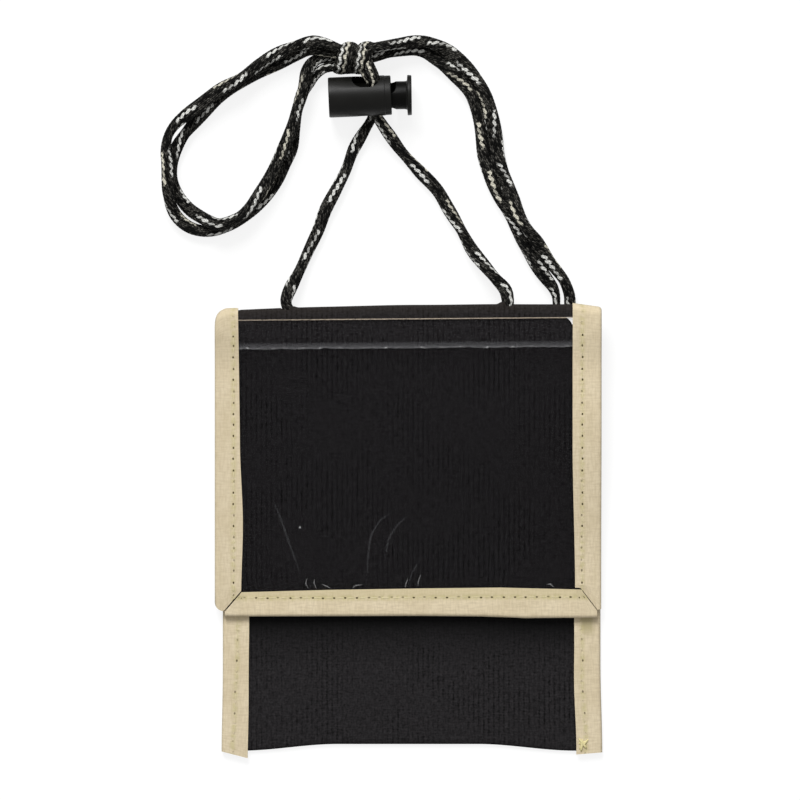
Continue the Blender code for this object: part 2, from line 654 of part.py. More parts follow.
def least_gap(points, diameter, per_turn):
    """The least distance between a coil's surfaces, from points at least half a turn apart."""
    places = np.array(points)
    apart = np.linalg.norm(places[:, None] - places[None], axis=2)
    index = np.arange(len(places))
    apart[abs(index[:, None] - index[None]) < per_turn / 2] = np.inf
    return apart.min() - diameter


def knot():
    centre = from_photo(*KNOT_PIXEL, 0) + Vector((0, 0, KNOT_ACROSS / 2))
    per_turn = 24
    radius = (KNOT_ACROSS - KNOT_CORD) / 2
    points = coil_points(radius, KNOT_PITCH, KNOT_TURNS, KNOT_START_DEGREES, per_turn, centre)
    tube("cord_knot", [(point, 1) for point in points], KNOT_CORD)
    print(f"knot: least gap to itself {least_gap(points, KNOT_CORD, per_turn) * 1000:.2f} mm")


def turned(name, profile, look, parent):
    """A solid turned about X. The profile runs from one point on the axis to another."""
    build = bmesh.new()
    rings = []
    for x, radius in profile:
        if radius == 0:
            rings.append([build.verts.new((x, 0, 0))])
            continue
        turns = [math.tau * k / TURNED_SIDES for k in range(TURNED_SIDES)]
        ring = [build.verts.new((x, radius * math.cos(turn), radius * math.sin(turn))) for turn in turns]
        rings.append(ring)
    for first, second in zip(rings, rings[1:]):
        for k in range(TURNED_SIDES):
            after = (k + 1) % TURNED_SIDES
            if len(first) == 1:
                build.faces.new([first[0], second[after], second[k]])
            elif len(second) == 1:
                build.faces.new([first[k], first[after], second[0]])
            else:
                build.faces.new([first[k], first[after], second[after], second[k]])
    mesh = mesh_of(name, build)
    smooth_shading(mesh)
    return finish(name, mesh, look, parent)


def cutter(name, outline, half_length, parent):
    """A prism along Y with this outline in X and Z, left out of the model."""
    build = bmesh.new()
    ends = [[build.verts.new((x, y, z)) for x, z in outline] for y in (-half_length, half_length)]
    build.faces.new(ends[0])
    build.faces.new(ends[1])
    for k in range(len(outline)):
        after = (k + 1) % len(outline)
        build.faces.new([ends[0][k], ends[0][after], ends[1][after], ends[1][k]])
    made = bpy.data.objects.new(name, mesh_of(name, build))
    bpy.context.scene.collection.objects.link(made)
    made.parent = parent
    made.hide_render = True
    made.display_type = "WIRE"
    return made


def cut_through(obj, tool):
    cut = obj.modifiers.new("cord_hole", "BOOLEAN")
    cut.operation = "DIFFERENCE"
    cut.solver = "EXACT"
    cut.object = tool


def arc(centre_x, centre_z, radius, first_degrees, last_degrees, count):
    turns = [
        math.radians(first_degrees + (last_degrees - first_degrees) * k / count) for k in range(count + 1)
    ]
    return [(centre_x + radius * math.cos(turn), centre_z + radius * math.sin(turn)) for turn in turns]


def rounded_hole(centre_x, width, height, corner, count):
    """A rectangle in X and Z about the lock's axis, with its corners rounded."""
    outline = []
    for k, (side, up) in enumerate(((1, 1), (-1, 1), (-1, -1), (1, -1))):
        across, upward = side * (width / 2 - corner), up * (height / 2 - corner)
        outline += arc(centre_x + across, upward, corner, 90 * k, 90 * (k + 1), count)
    return outline


def cord_lock():
    """Barrel, plunger and spring, built along X about the barrel's middle, then turned into place."""
    turn = Matrix.Rotation(math.radians(LOCK_TURN_DEGREES), 4, "Z")
    turn = turn @ Matrix.Rotation(math.radians(LOCK_TILT_DEGREES), 4, "X")
    centre = from_photo(*LOCK_PIXEL, 0) + Vector((0, 0, BARREL_DIAMETER / 2))
    frame = empty_at("lock_axis", centre, turn)
    closed_end = -BARREL_LENGTH / 2
    mouth_x = BARREL_LENGTH / 2
    outside = BARREL_DIAMETER / 2
    bore = outside - BARREL_WALL
    floor = closed_end + BARREL_FLOOR

    barrel = turned(
        "lock_barrel",
        [
            (closed_end, 0), (closed_end, outside - BARREL_EDGE), (closed_end + BARREL_EDGE, outside),
            (mouth_x - BARREL_EDGE, outside), (mouth_x, outside - BARREL_EDGE), (mouth_x, bore),
            (floor, bore), (floor, 0),
        ],
        PLASTIC,
        frame,
    )
    hole = rounded_hole(closed_end + CORD_HOLE_FROM_END, CORD_HOLE_WIDTH, CORD_HOLE_HEIGHT, CORD_HOLE_CORNER, 8)
    cut_through(barrel, cutter("barrel_hole", hole, outside + CUT_OVERRUN, frame))

    stem = bore - PLUNGER_CLEARANCE
    inner = closed_end + PLUNGER_INNER_END
    flange = mouth_x + PLUNGER_SHOWN
    outer = flange + FLANGE_THICKNESS
    rim = FLANGE_DIAMETER / 2
    hole_x = closed_end + PLUNGER_HOLE_FROM_END
    pocket_end = hole_x - PLUNGER_HOLE_WIDTH / 2 - SPRING_POCKET_WALL
    pocket = SPRING_POCKET_DIAMETER / 2
    plunger = turned(
        "lock_plunger",
        [
            (pocket_end, 0), (pocket_end, pocket), (inner, pocket), (inner, stem - PLUNGER_EDGE),
            (inner + PLUNGER_EDGE, stem), (flange, stem), (flange, rim - FLANGE_EDGE),
            (flange + FLANGE_EDGE, rim), (outer - FLANGE_EDGE, rim), (outer, rim - FLANGE_EDGE), (outer, 0),
        ],
        PLASTIC,
        frame,
    )
    slot = rounded_hole(hole_x, PLUNGER_HOLE_WIDTH, PLUNGER_HOLE_HEIGHT, PLUNGER_HOLE_CORNER, 3)
    cut_through(plunger, cutter("plunger_hole", slot, outside + CUT_OVERRUN, frame))

    per_turn = 10
    spring_low = floor + SPRING_END_GAP + SPRING_WIRE / 2
    spring_high = pocket_end - SPRING_END_GAP - SPRING_WIRE / 2
    pitch = (spring_high - spring_low) / SPRING_TURNS
    radius = (SPRING_DIAMETER - SPRING_WIRE) / 2
    middle = ((spring_low + spring_high) / 2, 0, 0)
    points = coil_points(radius, pitch, SPRING_TURNS, 0, per_turn, middle)
    spring = tube("lock_spring", [(point, 1) for point in points], SPRING_WIRE, STEEL, frame)
    spring.data.bevel_resolution = 1
    print(f"spring: least gap to itself {least_gap(points, SPRING_WIRE, per_turn) * 1000:.2f} mm")


def main():
    for obj in list(bpy.data.objects):
        bpy.data.objects.remove(obj)

    back_panel()
    front_pocket_panel()
    body_binding("body_binding_left", body_left, 1, TAPE_END_SLANT_LEFT, 0)
    body_binding("body_binding_right", body_right, -1, TAPE_END_SLANT_RIGHT, TAPE_END_SHORT_RIGHT)
    patch("loop_patch", body_tape_z, lambda x, y, z: z + lift(x, y) + crown(x, y))

    hinge_z = flap_top_z + hinge_rise + lift(0, hinge_y)
    hinge = empty_at("flap_hinge_line", (0, hinge_y, hinge_z))
    bpy.context.view_layer.update()
    flap_layer("flap_panel", flap_panel_z, FABRIC, BLACK_FABRIC, hinge)
    window_sheet(hinge)
    flap_binding_side("flap_binding_left", left, 1, hinge)
    flap_binding_side("flap_binding_right", right, -1, hinge)
    flap_binding_bottom(hinge)
    patch("hook_patch", flap_tape_low_z, flap_height, hinge)

    fold_run()
    tube("cord_leg_left", smooth_points(LEG_LEFT_ROUTE), CORD)
    tube("cord_leg_right", smooth_points(LEG_RIGHT_ROUTE), CORD)
    tube("cord_loop_outer", smooth_points(LOOP_OUTER_ROUTE), CORD)
    tube("cord_loop_inner", smooth_points(LOOP_INNER_ROUTE), CORD)
    tube("cord_neck_inner", smooth_points(NECK_INNER_ROUTE), CORD)
    tube("cord_neck_outer", smooth_points(NECK_OUTER_ROUTE), CORD)
    tube("cord_bight", smooth_points(BIGHT_ROUTE), CORD)
    knot()
    cord_lock()


main()
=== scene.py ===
"""The looks of the neck wallet: fabric, edge tape, clear window, knitted cord, cord lock and stitching."""

import json
import math

import bmesh
import bpy
import numpy as np
from mathutils import Matrix, Vector
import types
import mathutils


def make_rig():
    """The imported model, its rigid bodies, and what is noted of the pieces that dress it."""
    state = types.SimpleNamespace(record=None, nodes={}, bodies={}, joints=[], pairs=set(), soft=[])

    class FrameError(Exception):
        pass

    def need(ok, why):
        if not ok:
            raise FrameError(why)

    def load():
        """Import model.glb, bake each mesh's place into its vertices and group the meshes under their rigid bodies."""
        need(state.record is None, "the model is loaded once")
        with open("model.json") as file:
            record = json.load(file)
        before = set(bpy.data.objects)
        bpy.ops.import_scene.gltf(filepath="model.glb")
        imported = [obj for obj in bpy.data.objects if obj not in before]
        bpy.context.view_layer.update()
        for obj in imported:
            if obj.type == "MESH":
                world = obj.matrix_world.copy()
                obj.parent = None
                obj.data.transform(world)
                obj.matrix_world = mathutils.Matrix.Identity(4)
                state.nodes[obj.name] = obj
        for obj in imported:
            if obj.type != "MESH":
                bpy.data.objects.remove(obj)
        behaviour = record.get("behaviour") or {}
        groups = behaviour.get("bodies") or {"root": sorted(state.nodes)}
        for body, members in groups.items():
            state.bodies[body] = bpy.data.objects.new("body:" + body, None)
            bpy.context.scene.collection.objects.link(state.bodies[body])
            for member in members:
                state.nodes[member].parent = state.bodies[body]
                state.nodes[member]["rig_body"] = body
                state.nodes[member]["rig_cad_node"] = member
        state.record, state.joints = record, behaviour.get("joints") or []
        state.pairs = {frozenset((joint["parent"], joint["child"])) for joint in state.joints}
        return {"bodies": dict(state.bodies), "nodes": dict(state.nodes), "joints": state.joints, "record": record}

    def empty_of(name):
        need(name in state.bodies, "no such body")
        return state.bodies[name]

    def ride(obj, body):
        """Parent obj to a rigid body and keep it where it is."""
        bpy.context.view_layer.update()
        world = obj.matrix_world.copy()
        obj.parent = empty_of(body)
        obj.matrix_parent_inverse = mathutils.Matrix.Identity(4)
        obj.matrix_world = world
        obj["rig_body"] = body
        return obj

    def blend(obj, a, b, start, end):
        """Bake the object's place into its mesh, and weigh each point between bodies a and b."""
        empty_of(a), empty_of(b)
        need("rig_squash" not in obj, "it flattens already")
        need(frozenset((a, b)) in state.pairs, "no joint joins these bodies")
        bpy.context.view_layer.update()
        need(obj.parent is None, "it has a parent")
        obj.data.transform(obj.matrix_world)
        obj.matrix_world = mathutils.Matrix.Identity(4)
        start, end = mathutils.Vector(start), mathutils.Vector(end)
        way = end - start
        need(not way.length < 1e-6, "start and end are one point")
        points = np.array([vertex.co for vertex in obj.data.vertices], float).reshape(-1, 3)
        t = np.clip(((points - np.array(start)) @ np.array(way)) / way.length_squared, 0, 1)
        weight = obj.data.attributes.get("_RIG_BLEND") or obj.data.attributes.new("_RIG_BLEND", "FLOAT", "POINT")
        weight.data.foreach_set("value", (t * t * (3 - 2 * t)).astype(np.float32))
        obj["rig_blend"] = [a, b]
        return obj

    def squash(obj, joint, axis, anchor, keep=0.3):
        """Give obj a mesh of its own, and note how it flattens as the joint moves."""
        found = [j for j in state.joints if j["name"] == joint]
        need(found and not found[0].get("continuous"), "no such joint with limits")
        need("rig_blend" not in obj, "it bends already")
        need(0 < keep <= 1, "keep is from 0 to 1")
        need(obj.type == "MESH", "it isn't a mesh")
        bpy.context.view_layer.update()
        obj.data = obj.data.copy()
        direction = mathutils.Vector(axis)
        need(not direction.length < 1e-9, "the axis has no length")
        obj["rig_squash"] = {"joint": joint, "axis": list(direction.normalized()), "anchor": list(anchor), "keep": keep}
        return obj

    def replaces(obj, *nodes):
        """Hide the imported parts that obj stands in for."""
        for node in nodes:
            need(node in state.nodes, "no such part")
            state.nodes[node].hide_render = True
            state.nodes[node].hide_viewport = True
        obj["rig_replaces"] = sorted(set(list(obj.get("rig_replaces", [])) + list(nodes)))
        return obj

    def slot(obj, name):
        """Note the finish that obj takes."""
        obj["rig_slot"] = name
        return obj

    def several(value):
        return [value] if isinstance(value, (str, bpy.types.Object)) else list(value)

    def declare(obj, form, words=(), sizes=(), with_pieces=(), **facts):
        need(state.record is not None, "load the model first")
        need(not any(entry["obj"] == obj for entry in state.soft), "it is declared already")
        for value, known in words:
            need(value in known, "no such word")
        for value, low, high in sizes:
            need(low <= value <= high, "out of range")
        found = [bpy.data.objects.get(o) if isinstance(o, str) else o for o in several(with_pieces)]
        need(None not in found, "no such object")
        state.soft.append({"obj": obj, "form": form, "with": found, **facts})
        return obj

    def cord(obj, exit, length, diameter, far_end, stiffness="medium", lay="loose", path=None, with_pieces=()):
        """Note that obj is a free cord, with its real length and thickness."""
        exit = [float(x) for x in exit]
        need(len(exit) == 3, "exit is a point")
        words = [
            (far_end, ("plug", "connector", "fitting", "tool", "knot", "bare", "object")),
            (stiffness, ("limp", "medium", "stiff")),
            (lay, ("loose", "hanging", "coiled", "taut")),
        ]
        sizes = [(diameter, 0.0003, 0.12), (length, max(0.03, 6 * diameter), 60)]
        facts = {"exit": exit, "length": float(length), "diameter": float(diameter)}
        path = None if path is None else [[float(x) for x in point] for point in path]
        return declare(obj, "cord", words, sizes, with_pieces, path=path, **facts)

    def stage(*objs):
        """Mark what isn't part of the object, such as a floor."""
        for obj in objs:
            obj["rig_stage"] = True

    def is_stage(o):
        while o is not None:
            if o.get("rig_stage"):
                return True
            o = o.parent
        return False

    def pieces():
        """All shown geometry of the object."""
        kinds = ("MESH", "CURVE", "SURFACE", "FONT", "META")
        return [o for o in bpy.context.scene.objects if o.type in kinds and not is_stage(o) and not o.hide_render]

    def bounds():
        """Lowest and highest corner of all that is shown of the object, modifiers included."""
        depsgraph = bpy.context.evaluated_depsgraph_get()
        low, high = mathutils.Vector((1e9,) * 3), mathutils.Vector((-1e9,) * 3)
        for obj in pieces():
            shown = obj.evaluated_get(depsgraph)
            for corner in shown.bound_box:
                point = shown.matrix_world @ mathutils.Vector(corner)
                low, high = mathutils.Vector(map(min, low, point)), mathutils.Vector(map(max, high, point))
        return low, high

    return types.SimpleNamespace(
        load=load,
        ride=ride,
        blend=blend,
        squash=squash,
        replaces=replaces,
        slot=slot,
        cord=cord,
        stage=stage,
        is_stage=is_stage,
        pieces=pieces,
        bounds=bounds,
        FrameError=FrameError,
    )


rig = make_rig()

# The same sizes and places as the CAD model, in metres
FLAP_WIDTH = 0.127
POUCH_LENGTH = 0.149
LEFT, RIGHT = -FLAP_WIDTH / 2, FLAP_WIDTH / 2
TOP = POUCH_LENGTH / 2
BODY_LEFT, BODY_RIGHT = LEFT + 0.0026, RIGHT - 0.0002
FLAP_BOTTOM = TOP - 0.1025
MOUTH = TOP - 0.0095
FABRIC, TAPE, TAPE_WIDTH, VINYL = 0.0005, 0.0004, 0.0086, 0.00025
LIFT, LIFT_FULL, LIFT_GONE = 0.0052, TOP - 0.034, TOP - 0.090
CROWN = 0.0012
# How far the pouch's bottom edge curves up between the tapes, and over what height that dies away
ARCH, ARCH_FADES = 0.0022, 0.025
CAP_RADIUS = 0.0031
FOLD_Y, FOLD_Z = TOP - CAP_RADIUS, CAP_RADIUS
HINGE_Y = 0.068238
HINGE_RISE = 0.00195
SLOPE = 0.016
BACK_Z, FRONT_Z, BODY_TAPE_Z = 0.0005, 0.0011, 0.0017
FLAP_LOW_Z, FLAP_Z, WINDOW_Z, FLAP_TOP_Z = 0.0024, 0.0029, 0.0035, 0.00425
# The flap's cloth and its window share one ripple, so that they stay apart
FLAP_RIPPLE = (0.02, 0.00006)
# The cloth's edges lie this far inside the tapes' folds, and its top edge this much lower than theirs. Beside a
# tape it takes this much room to settle.
TUCKED, CLOTH_LOWER, SETTLES = 0.0006, 0.0003, 0.0015
# The pocket's bottom edge rolls down round this line to the foot
ROLL_Y, ROLL_INNER = -0.0711, 0.0005
FOOT_Y = ROLL_Y - ROLL_INNER - FABRIC
# The cord goes into the fold through two slits, where the cloth's grid is finer
SLIT_WIDTH, SLIT_TURN, FINE_REACH = 0.0044, math.radians(38), 0.0051
WINDOW_INSET = 0.0030
CORD = 0.0038
PIXEL = 0.000329
ORIGIN_PIXEL = (408.0, 531.5)

# Threads, stitches and needle holes: how far apart, and how far the seams lie from the tapes' inner edges
CANVAS_THREAD, TAPE_THREAD = 0.00042, 0.00036
FLAP_STITCH, BODY_STITCH = 0.0037, 0.0034
FLAP_SEAM, BOTTOM_SEAM, BODY_SEAM = 0.00242, 0.0024, 0.0045
HOLE_LENGTH, HOLE_WIDTH = 0.00041, 0.00028
FLAP_YARN, BODY_YARN, GOLD_YARN = 0.00028, 0.00024, 0.00085

# How far apart the rows of points lie in each mesh
FLAP_ROW, BODY_ROW, BOTTOM_ROW, WINDOW_ROW, ROUTE_STEP, LEG_STEP = 0.0016, 0.0018, 0.0012, 0.0015, 0.0006, 0.0004

# The cord's routes on the photograph, as stops. A stop is a pixel across and down. Then come the cord's height
# above the table in diameters, where it doesn't lie on it, and its thickness as a share, where it isn't whole.
LYING = 0.52
LEG_LEFT_ROUTE = (
    (302.5, 314.5, 1.11), (296, 314.3, 1.09), (290.7, 311.6, 1.07), (287.2, 306.5, 1.05), (286.3, 300, 1.0),
    (290.3, 289, 0.85), (300, 270, 0.62), (309, 250, 0.53), (318.3, 230), (325.6, 210), (336, 190),
    (346, 170, 0.53), (353.5, 150, 0.53), (363.5, 132.5, 0.52, 0.98), (370.2, 121.5, 0.47, 0.82),
    (374, 112.5, 0.6, 0.79), (374.1, 94.8, 1.28, 0.79), (371.5, 84, 1.68, 0.8), (367.3, 76.5, 1.8, 0.86),
    (363, 69, 1.75, 0.9), (359, 61, 1.5, 0.85),
)
LEG_RIGHT_ROUTE = (
    (492.5, 314.5, 1.75), (499, 314.3, 1.78), (504.2, 311.6, 1.79), (507, 306.5, 1.79), (507.5, 300, 1.75),
    (505, 290, 1.62), (496.5, 280, 1.42), (488, 270, 1.2), (472, 250, 0.8), (461, 230, 0.58), (449, 210),
    (437, 190), (418, 170, 0.53), (401, 151, 0.57), (390, 136, 0.82), (382.3, 125, 1.16, 0.9),
    (376.8, 115.5, 1.37, 0.8), (374.2, 97.1, 2.1, 0.79), (375.5, 84.5, 2.5, 0.82), (374.2, 77, 2.62, 0.88),
    (370.8, 69.5, 2.45, 0.9), (367, 60, 2.0, 0.85),
)
LOOP_OUTER_ROUTE = (
    (333.5, 47, 1.98, 0.85), (326, 44.3, 2.0, 0.85), (314, 42.8, 1.9, 0.97), (300, 45.5, 1.55),
    (280, 52.7, 1.5), (260, 65, 1.58), (240, 79.8, 1.62), (220, 90.5, 1.6), (200, 105.5, 1.55), (186, 116, 1.5),
    (175, 126, 1.5, 0.9), (168.5, 137, 1.55, 0.85), (166.5, 150, 1.62, 0.9), (168, 165, 1.64),
    (168.6, 180, 1.64), (168.8, 193, 1.5), (171.5, 206, 1.15), (178, 218, 0.72), (189, 227, 0.54), (202, 231),
    (214, 230.8), (226, 227), (236.5, 221.5), (257, 205.8), (273.3, 186.5), (284.3, 167.5), (291.2, 149),
    (294.2, 130), (297, 111), (303, 92), (309, 83, 0.56), (315.5, 75, 0.7, 0.9), (324, 69, 0.95, 0.85),
    (333.5, 66.8, 1.08, 0.85),
)
LOOP_INNER_ROUTE = (
    (333.5, 54.5, 1.27, 0.85), (326, 53, 1.36, 0.85), (316, 50.5, 1.15, 0.93), (307, 50.5, 0.76), (298, 54),
    (280, 63), (260, 72.3), (240, 83.7), (220, 97), (203, 113.5), (190, 128), (181, 140), (175, 152),
    (172.3, 165), (172.5, 178), (176, 190), (182.5, 201.5), (191, 210.5, 0.56), (200, 216.5, 0.85),
    (209, 221.5, 1.28), (219, 224.8, 1.56), (232, 221.3, 1.61), (243.5, 214.4, 1.62), (260.8, 193, 1.6),
    (272.3, 172.5, 1.55), (282, 152.3, 1.6), (291, 131, 1.62), (297, 111, 1.63), (302.5, 95, 1.62),
    (304.8, 84, 1.58), (306.5, 74, 1.45), (310.8, 65, 1.06, 0.92), (318, 59.5, 0.64, 0.85),
    (326, 58.3, 0.46, 0.85), (333.5, 59, 0.43, 0.85),
)
NECK_INNER_ROUTE = (
    (344, 58.5, 1.43), (354, 58.5, 1.43), (366, 58.3, 1.42), (378, 55.8, 1.1), (390, 52.5, 0.7),
    (402, 50.5, 0.53), (415, 49.6, 0.52, 1.03), (426, 52.3, 0.53, 1.08), (436, 59, 0.54, 1.14),
    (446.6, 67.4, 0.55, 1.17), (456.6, 76.4, 0.55, 1.17), (465, 85.3, 0.55, 1.15), (471, 94, 0.55, 1.15),
    (474.8, 103.9, 0.55, 1.16), (477.9, 114.8, 0.56, 1.17), (480.7, 128, 0.56, 1.18), (482.8, 142, 0.56, 1.18),
    (484.7, 156, 0.56, 1.18), (488.4, 167.6, 0.56, 1.18), (494, 183.6, 0.55, 1.14), (500.7, 200, 0.52, 1.06),
    (506.5, 210), (513, 220), (518, 231, 0.52, 1.03), (522.2, 241, 0.54, 1.1), (527.3, 249.6, 0.55, 1.14),
    (533.1, 259.4, 0.55, 1.14), (539.4, 269.4, 0.54, 1.08), (546.9, 279.5), (553, 288, 0.52, 0.9),
    (556, 297, 0.52, 0.72), (556.1, 309.5, 0.52, 0.66),
)
BIGHT_ROUTE = (
    (555.5, 320), (550, 334), (541, 348), (534, 362), (532.5, 377), (539.5, 391), (555, 398), (571, 392),
    (578.5, 378), (579, 362), (576, 346), (572, 330), (570, 319),
)
NECK_OUTER_ROUTE = (
    (368.5, 50, 2.2, 0.9), (377, 48.3, 2.15), (388, 46.2, 1.95), (400, 44.3, 1.75), (415, 42.3, 1.6),
    (430, 43.2, 1.35, 1.04), (445, 50.3, 0.95, 1.12), (459.4, 61.1, 0.64, 1.17), (469.4, 71, 0.56, 1.17),
    (479.1, 84.2, 0.55, 1.15), (485.8, 98.1, 0.55, 1.16), (490.1, 112.2, 0.56, 1.17),
    (493.1, 126.1, 0.56, 1.18), (495.4, 140.1, 0.56, 1.18), (497.3, 155.1, 0.56, 1.18),
    (501.6, 170.3, 0.56, 1.18), (507, 184.3, 0.72, 1.14), (513.4, 200, 1.25, 1.06), (516.7, 210, 1.55),
    (521, 220, 1.62), (527.5, 230, 1.55, 1.03), (534.7, 240.2, 1.2, 1.1), (541.2, 250.4, 0.8, 1.14),
    (548.2, 260.6, 0.57, 1.14), (556.2, 270.2, 0.54, 1.08), (563.4, 279.7), (567.5, 289), (569.5, 297),
    (569.8, 309.5),
)

# The knot's wraps: squeezed cord, wound on by so much a turn, over a core
KNOT_ACROSS, KNOT_START, KNOT_CORE = 0.0109, 216.0, 0.0061
WRAP, WRAP_ADVANCE, WRAP_SQUEEZE = 0.0034, 0.0058, (1.58, 1, 1)
LOCK_PIXEL, LOCK_TURN, LOCK_TILT = (360.0, 97.0), 2.3, 29.0
BARREL_LENGTH, BARREL_DIAMETER, BORE = 0.0206, 0.0132, 0.0049
CORD_HOLE, CORD_HOLE_AT = (0.0092, 0.0078, 0.0034), 0.0124
LOCK_WALL, LIP_STEP = 0.0015, 0.00012
STEM, FLANGE, FLANGE_OUT, FLANGE_THICK = 0.0046, 0.00665, 0.0053, 0.0014
SPRING_PRESSED, POCKET, POCKET_END = 0.578, 0.003, 0.0121
PLUNGER_FROM, PLUNGER_HOLE, PLUNGER_HOLE_AT = 0.0062, (0.0091, 0.0074, 0.0016), 0.0176
PLUNGER_SAG, PLUNGER_DROOP = 0.0001, -1.5

# Finer detail of the cord, seen close up
WALES = 10
STITCH, PROUD = 0.00115, 0.00012
TWIST, TAIL_TWIST = -0.048, 0.025
# Each pale yarn shows for half of this many stitches, in dashes, and winds slowly round the cord
TRACER_SHOWS, TRACER_DASH, TRACER_PITCH = 16.5, 2.0, -0.16
RINGS_PER_STITCH = 5
AROUND = 60

LAMP_WATTS, SKY_LIGHT, FLOOR_GLOW = 53, 0.5, 0.83
CAMERA_DISTANCE, PICTURE_PIXELS = 3.0, 800


def photo(across, down, height=0.0):
    """The point at this pixel, this many metres above the table."""
    return Vector(((across - ORIGIN_PIXEL[0]) * PIXEL, (ORIGIN_PIXEL[1] - down) * PIXEL, height))


def x_at(across):
    return photo(across, 0).x


def y_at(down):
    return photo(0, down).y


def pixel_at(x):
    return x / PIXEL + ORIGIN_PIXEL[0]


def smooth(share):
    share = np.clip(share, 0, 1)
    return share * share * (3 - 2 * share)


def stack(*parts):
    return np.stack(parts, -1)


def lift(x, y):
    """How far the layers are raised by the bight of cord under the pouch's upper right."""
    return LIFT * (x - LEFT) / FLAP_WIDTH * smooth((y - LIFT_GONE) / (LIFT_FULL - LIFT_GONE))


def crown(x, y):
    across = np.maximum(1 - (2 * x / FLAP_WIDTH) ** 2, 0)
    return CROWN * across * np.maximum(1 - (2 * y / POUCH_LENGTH) ** 2, 0)


def flap_rise(y):
    return HINGE_RISE * smooth((y - HINGE_Y + SLOPE - 0.0005) / SLOPE)


def ripple(x, y, size, height, seed=0.0):
    """A slow, uneven wave over the cloth."""
    u, v = x / size + seed, y / size - seed
    wave = np.sin(2.1 * u + 1.3 * np.sin(1.7 * v)) + np.sin(1.9 * v + 1.1 * np.sin(2.3 * u + 1))
    return height * (wave + np.sin(3.7 * u - 2.9 * v)) / 3


# Materials


def operation(kind, turned=False):
    """A way to write this kind of Math node between values and numbers."""

    def reckoned(self, *others):
        values = (*others, self) if turned else (self, *others)
        return self.made.add("Math", enumerate(values), operation=kind)

    return reckoned


class Value:
    """A node's output, which can be reckoned with like a number."""

    def __init__(self, made, socket):
        self.made, self.socket = made, socket

    def ramp(self, low, high, to_low=0.0, to_high=1.0):
        """Maps it from low..high to to_low..to_high, and no further."""
        return self.made.add("MapRange", enumerate((self, low, high, to_low, to_high)), clamp=True)

    __add__, __sub__, __rsub__ = operation("ADD"), operation("SUBTRACT"), operation("SUBTRACT", True)
    __mul__, __truediv__, __pow__ = operation("MULTIPLY"), operation("DIVIDE"), operation("POWER")
    __mod__, __abs__ = operation("FLOORED_MODULO"), operation("ABSOLUTE")
    floor, fract, sine, root = operation("FLOOR"), operation("FRACT"), operation("SINE"), operation("SQRT")
    maximum, below, above = operation("MAXIMUM"), operation("LESS_THAN"), operation("GREATER_THAN")
    # Times the first, plus the second
    scaled = operation("MULTIPLY_ADD")


class Nodes:
    """A material and short ways to add its nodes."""

    def __init__(self, name):
        self.material = bpy.data.materials.new(name)
        self.material.use_nodes = True
        self.tree = self.material.node_tree
        self.shader = self.tree.nodes["Principled BSDF"]

    def put(self, socket, value):
        if isinstance(value, Value):
            self.tree.links.new(value.socket, socket)
        elif socket.type == "RGBA":
            socket.default_value = (*value, 1)
        else:
            socket.default_value = value

    def add(self, kind, inputs=(), output=0, **settings):
        """A new node's output, or several if output is a tuple."""
        node = self.tree.nodes.new("ShaderNode" + kind)
        for key, value in settings.items():
            setattr(node, key, value)
        for key, value in dict(inputs).items():
            self.put(node.inputs[key], value)
        if isinstance(output, tuple):
            return [Value(self, node.outputs[key]) for key in output]
        return Value(self, node.outputs[output])

    def mix(self, share, first, second):
        """Between two colours."""
        return self.add("Mix", {0: share, 6: first, 7: second}, 2, data_type="RGBA")

    def noise(self, scale, where, detail=2):
        return self.add("TexNoise", {"Scale": scale, "Detail": detail, "Vector": where})

    def stretched(self, across, along, detail=2):
        """Noise with this many grains to the unit of UV, across and along."""
        where = self.add("VectorMath", {0: self.uv(), 1: (across, along, 1)}, operation="MULTIPLY")
        return self.noise(1.0, where, detail)

    def chance(self, *cell):
        """A value from 0 to 1 for each cell, by chance."""
        if len(cell) == 1:
            return self.add("TexWhiteNoise", {"W": cell[0]}, noise_dimensions="1D")
        return self.add("TexWhiteNoise", {"Vector": self.vector(*cell)}, noise_dimensions="2D")

    def vector(self, x, y):
        return self.add("CombineXYZ", {0: x, 1: y})

    def apart(self, vector):
        return self.add("SeparateXYZ", {0: vector}, (0, 1))

    def uv(self):
        return self.add("UVMap", uv_map="UVMap")

    def place(self):
        return self.add("TexCoord", output="Object")

    def bump(self, height, distance, strength=1.0):
        bumped = self.add("Bump", {"Height": height, "Distance": distance, "Strength": strength})
        self.put(self.shader.inputs["Normal"], bumped)

    def set(self, see_through=False, **values):
        for key, value in values.items():
            self.put(self.shader.inputs[key.replace("_", " ")], value)
        if see_through:
            self.material.surface_render_method = "BLENDED"
        return self.material


def dimmed(share, *colours):
    return [tuple(share * part for part in colour) for colour in colours]


def weave(made, u, v, thread):
    """The height, 0 to 1, of a plain weave whose threads are this far apart. u and v are in metres."""
    warp, weft = (abs((place * (math.pi / thread)).sine()) for place in (u, v))
    over = ((u / thread).floor() + (v / thread).floor()) % 2.0
    inputs = {0: over, 2: warp * weft.scaled(0.5, 0.5), 3: weft * warp.scaled(0.5, 0.5)}
    return made.add("Mix", inputs, data_type="FLOAT")


